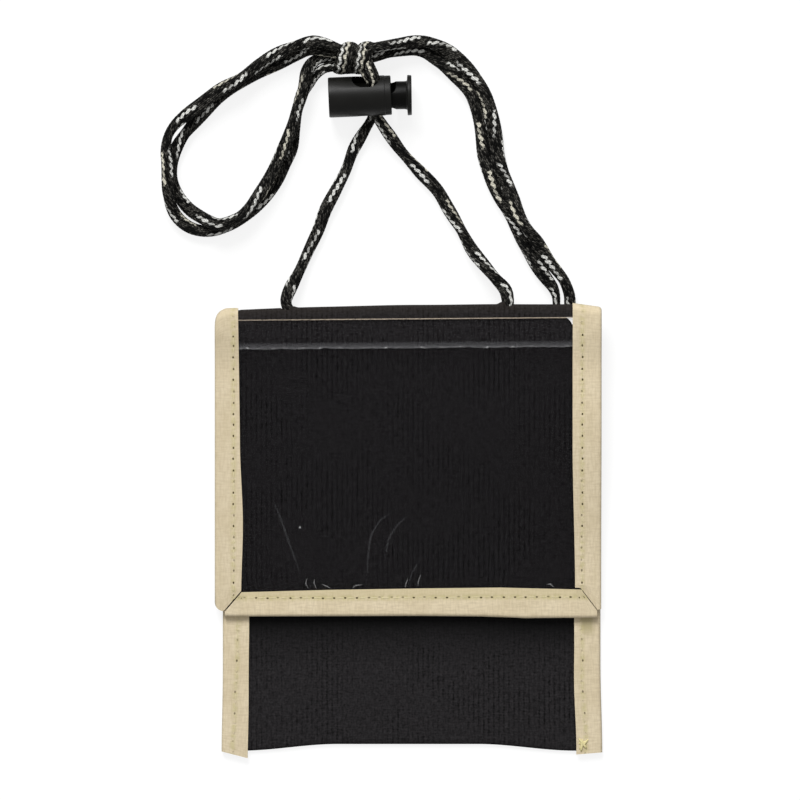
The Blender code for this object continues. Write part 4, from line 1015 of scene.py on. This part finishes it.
def window(material, weld_look, edge_haze):
    """The clear sheet, its doubled hem with a welded line, its cut top edge and its creases."""
    top = y_at(318.7)
    ys = np.append(np.arange(FLAP_BOTTOM + WINDOW_INSET, top, WINDOW_ROW), top)
    inner = np.linspace(x_at(237), x_at(575), 160)
    skin = WINDOW_Z + VINYL

    def surface(x, y, low):
        z = low + eased(y) * 0.00035 + flap_rise(y) + crown(x, y) + lift(x, y) + ripple(x, y, *FLAP_RIPPLE)
        slope = (x - LEFT) / FLAP_WIDTH * 0.0010 - 0.0006
        return stack(tapered(x, y), y + slope * smooth((y - 0.04) / 0.02), z)

    def sheet(name, xs, ys, low, thickness, look, share_up=False):
        x, y = np.meshgrid(xs, ys)
        up = (y - ys[0]) / (ys[-1] - ys[0]) if share_up else y
        return grid_solid(name, surface(x, y, low), surface(x, y, low + thickness), stack(x, up), look)

    xs = np.linspace(LEFT + WINDOW_INSET, RIGHT - WINDOW_INSET, 100)
    made = sheet("window_film", xs, ys, WINDOW_Z, VINYL, material)
    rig.slot(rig.replaces(cross_the_hinge(made), "window_sheet"), "clear_vinyl")
    ys = np.linspace(y_at(349.6), y_at(341.0), 8)
    weld = sheet("window_weld", inner, ys, skin + 0.00006, 0.0001, weld_look, share_up=True)
    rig.slot(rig.ride(weld, "flap"), "clear_vinyl")
    # The cut top edge shows as a thin bright line: a painted highlight
    ys = np.linspace(y_at(319.3), y_at(318.3), 3)
    cut = sheet("window_cut_edge", inner, ys, skin - 0.0001, 0.00032, edge_haze)
    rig.slot(cross_the_hinge(cut), "clear_vinyl")

    def ribbon(name, stops, width, look):
        """A slim ribbon along these pixels, for a crease, with a painted highlight along it."""
        at = np.array([photo(*stop)[:2] for stop in stops])
        fine = np.linspace(0, len(at) - 1, 8 * len(at))
        path = np.stack([np.interp(fine, range(len(at)), at[:, k]) for k in (0, 1)], 1)
        for _ in range(6):
            path[1:-1] = (path[:-2] + 2 * path[1:-1] + path[2:]) / 4
        ahead = np.gradient(path, axis=0)
        side = np.stack([-ahead[:, 1], ahead[:, 0]], 1) / np.linalg.norm(ahead, axis=1)[:, None]
        taper = np.sin(np.linspace(0.12, math.pi - 0.12, len(path)))[:, None]
        edges = [path + side * taper * width * s for s in (-0.5, 0, 0.5)]
        x, y = (np.stack([e[:, k] for e in edges], 1) for k in (0, 1))
        lower, upper = surface(x, y, skin), surface(x, y, skin + 0.00006)
        upper[..., 2] += np.array([0, 0.00008, 0]) * taper
        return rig.slot(grid_solid(name, lower, upper, stack(x, y), look), "clear_vinyl")

    # Painted highlights along the creases, faint and bright
    faint = glint_film("crease_haze", (0.3, 0.3, 0.32), 0.06, 0.3, 0.7)
    clear = glint_film("crease_shine", (0.4, 0.4, 0.4), 0.24, 0.35, 0.6)
    for k, (width, look, stops) in enumerate((
        (0.0008, faint, ((273, 500), (280, 516), (290, 545), (300, 572))),
        (0.0007, faint, ((396, 509), (380, 520), (371, 534), (368, 556), (367, 582))),
        (0.0007, faint, ((409, 514), (396, 526), (388, 540), (385, 562))),
        (0.0004, clear, ((307.2, 577.8), (304.9, 583.3), (307.2, 588.8))),
        (0.0004, clear, ((314.7, 578.5), (313.4, 583.3), (315.4, 588.8))),
        (0.0004, clear, ((321, 584), (326, 586), (330, 588.4))),
        (0.0004, clear, ((351.8, 587.6), (354.5, 585.4), (362.8, 584.2))),
        (0.0004, clear, ((408, 578), (406, 583), (405, 588))),
        (0.0005, faint, ((421, 558), (412, 572), (407, 588))),
        (0.0004, clear, ((418, 586), (418.5, 580), (421, 574))),
        (0.0005, clear, ((547.5, 584.4), (551, 583.6), (555.8, 587))),
    )):
        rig.ride(ribbon(f"window_crease_{k}", stops, width, look), "flap")
    # The sheet's top right corner is turned up; its shine is a painted highlight, a near white film over it
    rows = np.linspace(0, 1, 7)
    low_x = x_at(565) + (x_at(571.3) - x_at(565)) * (1 - (1 - rows) ** 1.7)
    x = stack(low_x, np.full(7, x_at(572.2)))
    y = stack(*[np.linspace(y_at(318.3), y_at(325.6), 7)] * 2)
    shine = glint_film("corner_shine", (0.9, 0.9, 0.9), 0.85, 0.2, 0.5)
    glint = grid_solid("window_corner", surface(x, y, skin), surface(x, y, skin + 0.00015), stack(x, y), shine)
    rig.slot(cross_the_hinge(glint), "clear_vinyl")


def patches(material):
    for name, low, node, body in (
        ("loop_pad", BODY_TAPE_Z, "loop_patch", "pouch"), ("hook_pad", FLAP_LOW_Z, "hook_patch", "flap"),
    ):
        ys = np.linspace(FLAP_BOTTOM + 0.0105, FLAP_BOTTOM + 0.0265, 14)
        x, y = np.meshgrid(np.linspace(-0.025, 0.025, 30), ys)
        z = low + crown(x, y) + lift(x, y)
        made = grid_solid(name, stack(x, y, z), stack(x, y, z + TAPE), stack(x, y), material)
        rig.slot(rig.ride(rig.replaces(made, node), body), "hook_loop")


# Cord


def full_stop(across, down, height=LYING, share=1):
    return photo(across, down, height * CORD), share


def smooth_points(route, step):
    """Points about a step apart on the same smooth curve as the CAD model's, with the thickness at each."""
    places, shares = zip(*(full_stop(*stop) for stop in route))
    before = [places[0] * 2 - places[1], *places[:-1]]
    after = [*places[1:], places[-1] * 2 - places[-2]]
    points, thick = [], []
    for k in range(len(places) - 1):
        start, end = places[k], places[k + 1]
        reach = (end - start).length
        pull_out = (end - before[k]).normalized() * reach
        pull_in = (after[k + 1] - start).normalized() * reach
        count = max(1, round(reach / step))
        for n in range(count):
            t = n / count
            points.append(
                start * (2 * t**3 - 3 * t**2 + 1) + pull_out * (t**3 - 2 * t**2 + t)
                + end * (3 * t**2 - 2 * t**3) + pull_in * (t**3 - t**2)
            )
            thick.append(shares[k] + (shares[k + 1] - shares[k]) * t)
    return np.array([*points, places[-1]]), np.array([*thick, shares[-1]])


def even(points, thick, step):
    """The same curve with its points evenly spaced, and the length up to each."""
    along = np.concatenate([[0], np.cumsum(np.linalg.norm(np.diff(points, axis=0), axis=1))])
    at = np.linspace(0, along[-1], max(8, round(along[-1] / step)) + 1)
    return stack(*(np.interp(at, along, points[:, k]) for k in range(3))), np.interp(at, along, thick), at


def unit(vectors):
    return vectors / np.linalg.norm(vectors, axis=-1, keepdims=True)


def frames(points, outward):
    """The way ahead at each point, and two ways across it, which turn no more than the path makes them.
    Or the first points away from a line along X, through the point outward."""
    ahead = unit(np.gradient(points, axis=0))
    if outward is None:
        side = [unit(np.cross(ahead[0], (0, 0, 1)))]
        for way in ahead[1:]:
            side.append(unit(side[-1] - way * (side[-1] @ way)))
        side = np.array(side)
    else:
        side = (points - outward) * (0, 1, 1)
        side = unit(side - ahead * np.sum(side * ahead, axis=1)[:, None])
    return ahead, side, np.cross(ahead, side)


def cord_tube(
    name, points, thick, diameter, material, phase=0.0, flat=0.09, turn_share=1.0, outward=None, squeeze=1.0,
    pitch=TWIST,
):
    """A knitted tube. Its wales twist slowly round it, and its stitches stand a little proud."""
    points, thick, along = even(points, thick, STITCH / RINGS_PER_STITCH)
    ahead, side, up = frames(points, outward)
    unsteady = 0.11 * np.sin(along * 95 + phase) + 0.05 * np.sin(along * 240)
    twist = phase + turn_share * math.tau * (along / pitch + unsteady)
    theta = np.arange(AROUND) / AROUND * math.tau
    wale = theta / math.tau * WALES
    out = np.abs(wale % 1 - 0.5) * 2
    loop = np.sin(math.pi * ((along[:, None] / STITCH + 0.55 * out + 0.5 * (np.floor(wale) % 2)) % 1))
    bump = PROUD * (np.sqrt(loop) * np.clip(np.sin(math.pi * out) * 1.4, 0, 1) - 0.45)
    radius = diameter / 2 * thick[:, None] * (1 + flat * np.cos(2 * theta + 1.0)) + bump
    radius *= 1 + 0.025 * np.sin(along * 410 + phase * 3)[:, None] + 0.03 * np.sin(along * 173 + phase * 5)[:, None]
    angle = theta + twist[:, None]
    offset = radius[..., None] * (np.cos(angle)[..., None] * side[:, None] + np.sin(angle)[..., None] * up[:, None])
    ring = points[:, None] + offset * squeeze
    # It lies flat on the table
    ring[..., 2] = np.maximum(ring[..., 2], 0.00004)

    rows, k = len(points), np.arange(AROUND)
    after = (k + 1) % AROUND
    u0, u1 = k / AROUND * WALES, (k + 1) / AROUND * WALES
    v = along / STITCH
    uvs = np.empty((rows - 1, AROUND, 4, 2))
    uvs[..., 0] = stack(u0, u1, u1, u0)
    uvs[..., :2, 1], uvs[..., 2:, 1] = v[:-1, None, None], v[1:, None, None]
    # Rounded ends
    tips = [points[0] - ahead[0] * diameter * 0.12, points[-1] + ahead[-1] * diameter * 0.12]
    first = stack(np.full(AROUND, rows * AROUND), after, k)
    last = stack(np.full(AROUND, rows * AROUND + 1), (rows - 1) * AROUND + k, (rows - 1) * AROUND + after)
    middle = (u0 + u1) / 2
    near = stack(stack(middle, u1, u0), np.tile(v[0] - np.array([1, 0, 0]), (AROUND, 1)))
    far = stack(stack(middle, u0, u1), np.tile(v[-1] + np.array([1, 0, 0]), (AROUND, 1)))
    everywhere = np.concatenate([part.reshape(-1, 2) for part in (uvs, near, far)])
    faces = [*loft_faces(rows, AROUND), *first, *last]
    made = object_of(name, [*ring.reshape(-1, 3), *tips], faces, material, everywhere)
    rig.slot(made, "cord")
    return made, points[:: RINGS_PER_STITCH * 2].tolist() + [points[-1].tolist()]


def length_of(path):
    return float(np.linalg.norm(np.diff(np.array(path), axis=0), axis=1).sum())


def cords(knitted, knitted_stretch, knot_knit, lock_pieces):
    middle = photo(353.8, 58.6, KNOT_ACROSS / 2)
    turns = np.linspace(-0.25, 1.66, 200)
    angle = math.radians(KNOT_START) - math.tau * turns
    radius = KNOT_ACROSS / 2 - WRAP / 2
    coil = stack(
        middle.x + WRAP_ADVANCE * (turns - 0.83), middle.y + radius * np.cos(angle), middle.z + radius * np.sin(angle),
    )
    knot, _ = cord_tube(
        "neck_knot", coil, np.ones(len(coil)), WRAP, knot_knit, -1.33, 0.03, turn_share=0.0,
        outward=np.array(middle), squeeze=WRAP_SQUEEZE,
    )
    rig.ride(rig.replaces(knot, "cord_knot"), "pouch")
    # Between the wraps, the cord's own turns fill the knot
    run = np.array([photo(across, 65.2, 0.0052) for across in (341, 349, 357)])
    core, _ = cord_tube("neck_knot_core", run, np.ones(3), KNOT_CORE, knot_knit, 0.6, 0.0, pitch=TAIL_TWIST)
    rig.ride(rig.replaces(core, "cord_knot"), "pouch")

    outer = ((345, 52, 1.75, 0.85), *LOOP_OUTER_ROUTE, (345, 63.5, 1.25, 0.85))
    inner = ((345, 56.5, 1.35, 0.85), *LOOP_INNER_ROUTE, (345, 59, 0.95, 0.85))
    neck = (*NECK_INNER_ROUTE, *BIGHT_ROUTE, *NECK_OUTER_ROUTE[::-1], (357, 54, 1.8, 0.9))
    for name, route, nodes, phase in (
        ("loop_strand_outer", outer, ("cord_loop_outer",), 1.2),
        ("loop_strand_inner", inner, ("cord_loop_inner",), 3.4),
        ("neck_strands", neck, ("cord_neck_inner", "cord_neck_outer", "cord_bight"), 0.3),
    ):
        made, path = cord_tube(name, *smooth_points(route, ROUTE_STEP), CORD, knitted, phase)
        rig.ride(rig.replaces(made, *nodes), "pouch")
        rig.cord(
            made, exit=path[0], length=length_of(path), diameter=CORD, far_end="knot", stiffness="limp",
            path=path, with_pieces=[knot],
        )

    xs = np.linspace(x_at(LEG_LEFT_ROUTE[0][0]), x_at(LEG_RIGHT_ROUTE[0][0]), 60)
    run = stack(xs, np.full_like(xs, FOLD_Y), FOLD_Z + lift(xs, FOLD_Y))
    made, _ = cord_tube("fold_cord", run, np.ones(60), CORD, knitted, 2.0)
    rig.ride(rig.replaces(made, "cord_fold_run"), "pouch")

    for side, route, phase, tail_phase in (("left", LEG_LEFT_ROUTE, 2.6, 0.93), ("right", LEG_RIGHT_ROUTE, 0.9, 1.27)):
        points, thick = smooth_points(route, LEG_STEP)
        inside = int(np.argmin(np.abs(points[:, 1] - y_at(99))))
        made, path = cord_tube("leg_" + side, points[: inside + 1], thick[: inside + 1], CORD, knitted, phase)
        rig.replaces(made, "cord_leg_" + side)
        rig.blend(made, "pouch", "cord_lock", start=(0, y_at(300), 0), end=(0, y_at(119), 0))
        tail, _ = cord_tube(
            "leg_" + side + "_to_knot", points[inside:], thick[inside:], CORD, knitted_stretch, tail_phase,
            turn_share=0.3, pitch=TAIL_TWIST,
        )
        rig.replaces(tail, "cord_leg_" + side)
        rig.blend(tail, "cord_lock", "pouch", start=(0, y_at(98), 0), end=(0, y_at(68), 0))
        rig.cord(
            made, exit=path[0], length=length_of(path), diameter=CORD, far_end="fitting", stiffness="limp",
            path=path, with_pieces=[tail, *lock_pieces],
        )


# Cord lock


def built(name, build):
    """The object that this bmesh makes."""
    bmesh.ops.recalc_face_normals(build, faces=build.faces)
    mesh = bpy.data.meshes.new(name)
    build.to_mesh(mesh)
    build.free()
    return shown(name, mesh)


def turned(name, profile, material, sides=96):
    """A solid turned about X, from a profile that starts and ends on the axis."""
    build = bmesh.new()
    rings = []
    for x, radius in profile:
        turns = [math.tau * k / sides for k in range(sides)] if radius else [0]
        rings.append([build.verts.new((x, radius * math.cos(t), radius * math.sin(t))) for t in turns])
    for first, second in zip(rings, rings[1:]):
        for k in range(sides):
            corners = [
                first[k % len(first)], first[(k + 1) % len(first)],
                second[(k + 1) % len(second)], second[k % len(second)],
            ]
            build.faces.new(list(dict.fromkeys(corners)))
    made = built(name, build)
    made.data.materials.append(material)
    return made


def rounded(points, radius, steps=5):
    """A profile with each inner corner rounded."""
    out = [points[0]]
    for before, corner, after in zip(points, points[1:], points[2:]):
        b, c, a = (np.array(p, float) for p in (before, corner, after))
        reach = min(radius, np.linalg.norm(b - c) / 2.2, np.linalg.norm(a - c) / 2.2)
        start, end = c + unit(b - c) * reach, c + unit(a - c) * reach
        for k in range(steps + 1):
            t = k / steps
            out.append(tuple((1 - t) ** 2 * start + 2 * t * (1 - t) * c + t**2 * end))
    return out + [points[-1]]


def rounded_hole(centre, width, height, corner):
    outline = []
    for k, (side, up) in enumerate(((1, 1), (-1, 1), (-1, -1), (1, -1))):
        across, upward = side * (width / 2 - corner), up * (height / 2 - corner)
        for degrees in range(0, 91, 6):
            t = math.radians(90 * k + degrees)
            outline.append((centre + across + corner * math.cos(t), upward + corner * math.sin(t)))
    return outline


def cut_hole(obj, outline):
    """Cuts a prism with this outline, in X and Z, right through along Y, and eases the new edges."""
    build = bmesh.new()
    ends = [[build.verts.new((x, y, z)) for x, z in outline] for y in (-0.012, 0.012)]
    for end in ends:
        build.faces.new(end)
    for k in range(len(outline)):
        after = (k + 1) % len(outline)
        build.faces.new([ends[0][k], ends[0][after], ends[1][after], ends[1][k]])
    tool = built("cutter", build)
    cut = obj.modifiers.new("hole", "BOOLEAN")
    cut.operation, cut.solver, cut.object = "DIFFERENCE", "EXACT", tool
    ease = obj.modifiers.new("ease", "BEVEL")
    ease.width, ease.segments, ease.limit_method, ease.angle_limit = 0.0002, 3, "ANGLE", math.radians(40)
    done = bpy.data.meshes.new_from_object(obj.evaluated_get(bpy.context.evaluated_depsgraph_get()))
    obj.modifiers.clear()
    obj.data = done
    bpy.data.objects.remove(tool)
    done.shade_smooth()
    done.set_sharp_from_angle(angle=math.radians(35))


def cord_lock(plastic, inner_plastic, neck_plastic, steel, frame):
    turn = Matrix.Rotation(math.radians(LOCK_TURN), 4, "Z") @ Matrix.Rotation(math.radians(LOCK_TILT), 4, "X")
    place = Matrix.Translation(photo(*LOCK_PIXEL, BARREL_DIAMETER / 2)) @ turn
    closed, mouth, outside = -BARREL_LENGTH / 2, BARREL_LENGTH / 2, BARREL_DIAMETER / 2
    floor, lip = closed + LOCK_WALL, outside - LIP_STEP
    barrel = turned("lock_barrel_shell", rounded([
        (closed, 0), (closed, outside - 0.0001), (closed + 0.0006, outside), (mouth - 0.0022, outside),
        (mouth - 0.0021, lip), (mouth, lip), (mouth, BORE), (floor, BORE), (floor, 0),
    ], 0.00045), plastic)
    cut_hole(barrel, rounded_hole(closed + CORD_HOLE_AT, *CORD_HOLE))
    inner, flange = closed + PLUNGER_FROM, mouth + FLANGE_OUT
    outer, pocket_end = flange + FLANGE_THICK, closed + POCKET_END
    slim, step = STEM - 0.0004, mouth - 0.0008
    plunger = turned("lock_plunger_stem", rounded([
        (pocket_end, 0), (pocket_end, POCKET), (inner, POCKET), (inner, slim), (mouth - 0.0014, slim), (step, STEM),
        (flange - 0.0008, STEM), (flange - 0.0001, STEM + 0.0002), (flange, FLANGE), (outer, FLANGE - 0.0001),
        (outer, 0),
    ], 0.0003), plastic)
    cut_hole(plunger, rounded_hole(closed + PLUNGER_HOLE_AT, *PLUNGER_HOLE))
    # Painted shade: inside the barrel the plastic takes an all but black copy of its material, and the plunger's neck a
    # darker one
    for made in (barrel, plunger):
        made.data.materials.append(inner_plastic)
    plunger.data.materials.append(neck_plastic)
    for face in plunger.data.polygons:
        x, deep = face.center.x, math.hypot(face.center.y, face.center.z) < slim
        hidden = x < step or (deep and x < flange)
        face.material_index = 1 if hidden else 2 if x < flange - 0.0004 else 0
    for face in barrel.data.polygons:
        x, across = face.center.x, math.hypot(face.center.y, face.center.z)
        face.material_index = int(across < outside - 0.0002 and closed + 0.0004 < x < mouth - 0.0004)
    # The plunger hangs a little low in the barrel
    at = place @ Vector((mouth, 0, 0))
    droop = Matrix.Rotation(math.radians(PLUNGER_DROOP), 4, "Z") @ Matrix.Translation(-at)
    droop = Matrix.Translation(at - Vector((0, PLUNGER_SAG, 0))) @ droop
    for made, body, node, moved in (
        (barrel, "cord_lock", "lock_barrel", place), (plunger, "lock_plunger", "lock_plunger", droop @ place),
    ):
        made.data.transform(moved)
        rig.slot(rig.ride(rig.replaces(made, node), body), "lock_plastic")
    # The spring is pressed together with the plunger
    solid = frame["nodes"]["lock_spring"]
    coil = solid.data.copy()
    coil.transform(solid.matrix_world)
    coil.materials.clear()
    coil.materials.append(steel)
    coil.shade_smooth()
    spring = shown("lock_spring_coil", coil)
    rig.slot(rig.ride(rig.replaces(spring, "lock_spring"), "cord_lock"), "spring_steel")
    along = (place @ Vector((1, 0, 0))) - (place @ Vector((0, 0, 0)))
    anchor = place @ Vector((floor + 0.0002, 0, 0))
    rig.squash(spring, "plunger_press", axis=tuple(along), anchor=tuple(anchor), keep=SPRING_PRESSED)
    return [barrel, plunger, spring]


# Thread


def thread_row(name, stops, material, thickness, height=0.00012, gap_share=0.16):
    """A row of stitches that dip into a needle hole between each two stops, as one mesh."""
    points, faces = [], []
    sides, steps = 6, 6
    above = Vector((0, 0, 1))
    for first, second in zip(stops, stops[1:]):
        a, b = Vector(first), Vector(second)
        side = (b - a).normalized().cross(above).normalized()
        start = len(points)
        for k in range(steps + 1):
            t = k / steps
            at = a.lerp(b, gap_share / 2 + t * (1 - gap_share))
            sink = height * (1 - (2 * t - 1) ** 4) - height * 0.9
            radius = thickness / 2 * (0.55 + 0.45 * math.sin(math.pi * t) ** 0.5)
            for n in range(sides):
                turn = math.tau * n / sides
                points.append(at + side * radius * math.cos(turn) + above * (radius * 0.7 * math.sin(turn) + sink))
        faces += [*loft_faces(steps + 1, sides, start)]
        faces.append(tuple(start + n for n in reversed(range(sides))))
        faces.append(tuple(start + steps * sides + n for n in range(sides)))
    return object_of(name, points, faces, material)


def flap_surface(x, y):
    return float(FLAP_TOP_Z + flap_rise(np.float64(y)) + crown(x, y) + lift(x, y))


def stitching(thread, gold):
    def stops(low, high, pitch):
        first = math.ceil(low / pitch - 0.5)
        return [(k + 0.5) * pitch for k in range(first, math.floor(high / pitch - 0.5) + 1)]

    def astray(along):
        """No stitch lies quite on its line."""
        return 0.00013 * math.sin(along * 5100) + 0.00007 * math.sin(along * 1370)

    for name, x in (("thread_left", x_at(233.9)), ("thread_right", x_at(581.8))):
        ys = stops(y_at(600), y_at(322), FLAP_STITCH)
        made = thread_row(name, [(x + astray(y), y, flap_surface(x, y)) for y in ys], thread, FLAP_YARN)
        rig.slot(cross_the_hinge(made), "tan_binding")
    places = []
    for x in stops(x_at(236), x_at(582), FLAP_STITCH):
        y = y_at(597.7) + float(seam_rise(x)) + astray(x)
        places.append((x, y, flap_surface(x, y)))
    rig.slot(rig.ride(thread_row("thread_bottom", places, thread, FLAP_YARN), "flap"), "tan_binding")
    for name, edge, inward in (("thread_body_left", BODY_LEFT, 1), ("thread_body_right", BODY_RIGHT, -1)):
        places = []
        for y in stops(-0.0725, MOUTH - 0.002, BODY_STITCH):
            x = edge + inward * (TAPE_WIDTH - BODY_SEAM - stitch_drift(inward, y)) + astray(y)
            places.append((x, y, BODY_TAPE_Z + TAPE + float(crown(x, y) + lift(x, y))))
        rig.slot(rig.ride(thread_row(name, places, thread, BODY_YARN), "pouch"), "tan_binding")
    # The star of thread that locks the seam's end
    centre = photo(582.6, 743.8, BODY_TAPE_Z + TAPE + 0.0001)
    for k, (turn, reach) in enumerate(((14, 4.6), (47, 6.4), (84, 6.0), (128, 6.2))):
        out = Vector((math.cos(math.radians(turn)), math.sin(math.radians(turn)), 0)) * reach * PIXEL
        aside = Vector((0.0004 * math.sin(k * 2.1), 0.0005 * math.cos(k * 1.7), 0.00008 * k))
        ends = [centre - out + aside, centre + out + aside]
        arm = thread_row(f"thread_star_{k}", ends, gold, GOLD_YARN, 0.0002, 0)
        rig.slot(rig.ride(arm, "pouch"), "tan_binding")


# The view, and all of it put together


def set_up_view():
    scene = bpy.context.scene
    scene.view_settings.view_transform = "Standard"
    world = bpy.data.worlds.new("studio")
    scene.world = world
    world.use_nodes = True
    background = world.node_tree.nodes["Background"]
    background.inputs[0].default_value = (1, 1, 1, 1)
    background.inputs[1].default_value = SKY_LIGHT

    lamp = bpy.data.lights.new("key", "AREA")
    lamp.size, lamp.energy = 1.0, LAMP_WATTS
    key_at, aim = Vector((-0.45, 1.75, 1.5)), Vector((0, 0.03, 0))
    shown("key", lamp).matrix_world = (
        Matrix.Translation(key_at) @ (key_at - aim).to_track_quat("Z", "Y").to_matrix().to_4x4()
    )

    made = Nodes("floor_white")
    # The floor looks white, but throws little light back on the part
    names = "Is Camera Ray", "Is Glossy Ray", "Is Transmission Ray"
    camera_ray, glossy, through = made.add("LightPath", output=names)
    made.set(
        Base_Color=(0.2, 0.2, 0.2), Roughness=0.9, Specular_IOR_Level=0.0, Emission_Color=(1, 1, 1),
        Emission_Strength=camera_ray.maximum(glossy).maximum(through) * FLOOR_GLOW,
    )
    mesh = bpy.data.meshes.new("floor")
    mesh.from_pydata([(-3, -3, 0), (3, -3, 0), (3, 3, 0), (-3, 3, 0)], [], [(0, 1, 2, 3)])
    mesh.materials.append(made.material)
    floor = shown("floor", mesh)
    floor.location.z = -0.00002
    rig.stage(floor)

    camera = bpy.data.cameras.new("camera")
    camera.sensor_width = 36
    camera.lens = 36 * CAMERA_DISTANCE / (PICTURE_PIXELS * PIXEL)
    camera.clip_end = 20
    scene.camera = shown("camera", camera)
    scene.camera.location = (*photo(400, 400).xy, CAMERA_DISTANCE)


def main():
    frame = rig.load()
    cad_box = [list(corner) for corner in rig.bounds()]
    set_up_view()

    first = y_at(324)
    tape = tan_tape("tan_tape_flap_left", FLAP_SEAM, FLAP_STITCH, first=first)
    right_tape = tan_tape("tan_tape_flap_right", FLAP_SEAM, FLAP_STITCH, tone=1.07, first=first)
    bottom_tape = tan_tape("tan_tape_bottom", BOTTOM_SEAM, FLAP_STITCH, rim=0.5, tone=1.09)
    body_tape = tan_tape("tan_tape_body", BODY_SEAM, BODY_STITCH, 0.45, tone=1.06)
    # The right body tape takes painted shade below the flap's corner
    stain = (0.0047, 0.0086, -0.0333, -0.0270)
    shaded_right_tape = tan_tape("tan_tape_body_right", BODY_SEAM, BODY_STITCH, 0.45, stain=stain, tone=1.07)
    thread = thread_yarn("tan_thread", (0.74, 0.67, 0.46), (0.52, 0.46, 0.24))
    gold = thread_yarn("gold_thread", (0.74, 0.67, 0.38), (0.62, 0.54, 0.24))

    pouch_cloth(black_canvas("black_canvas_pouch", True))
    cross_the_hinge(flap_fabric(black_canvas("black_canvas_flap")))
    body_tapes(body_tape, shaded_right_tape)
    flap_tapes(tape, right_tape, bottom_tape)
    window(vinyl(), welded(), glint_film("edge_haze", (0.55, 0.46, 0.36), 0.75))
    patches(fuzzy_black())
    stitching(thread, gold)
    lock_pieces = cord_lock(moulded(), moulded("lock_inside", 0.3), moulded("lock_neck", 0.42), wire_steel(), frame)
    paid_out, tied = knit("knit_cord_paid_out", True, 0.8, True), knit("knit_cord_knot", False, 0.52, True, 1.02)
    cords(knit("knit_cord"), paid_out, tied, lock_pieces)

    shown_box = [list(corner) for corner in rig.bounds()]
    with open("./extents.json", "w") as file:
        json.dump({"cad": cad_box, "visual": shown_box}, file)


main()
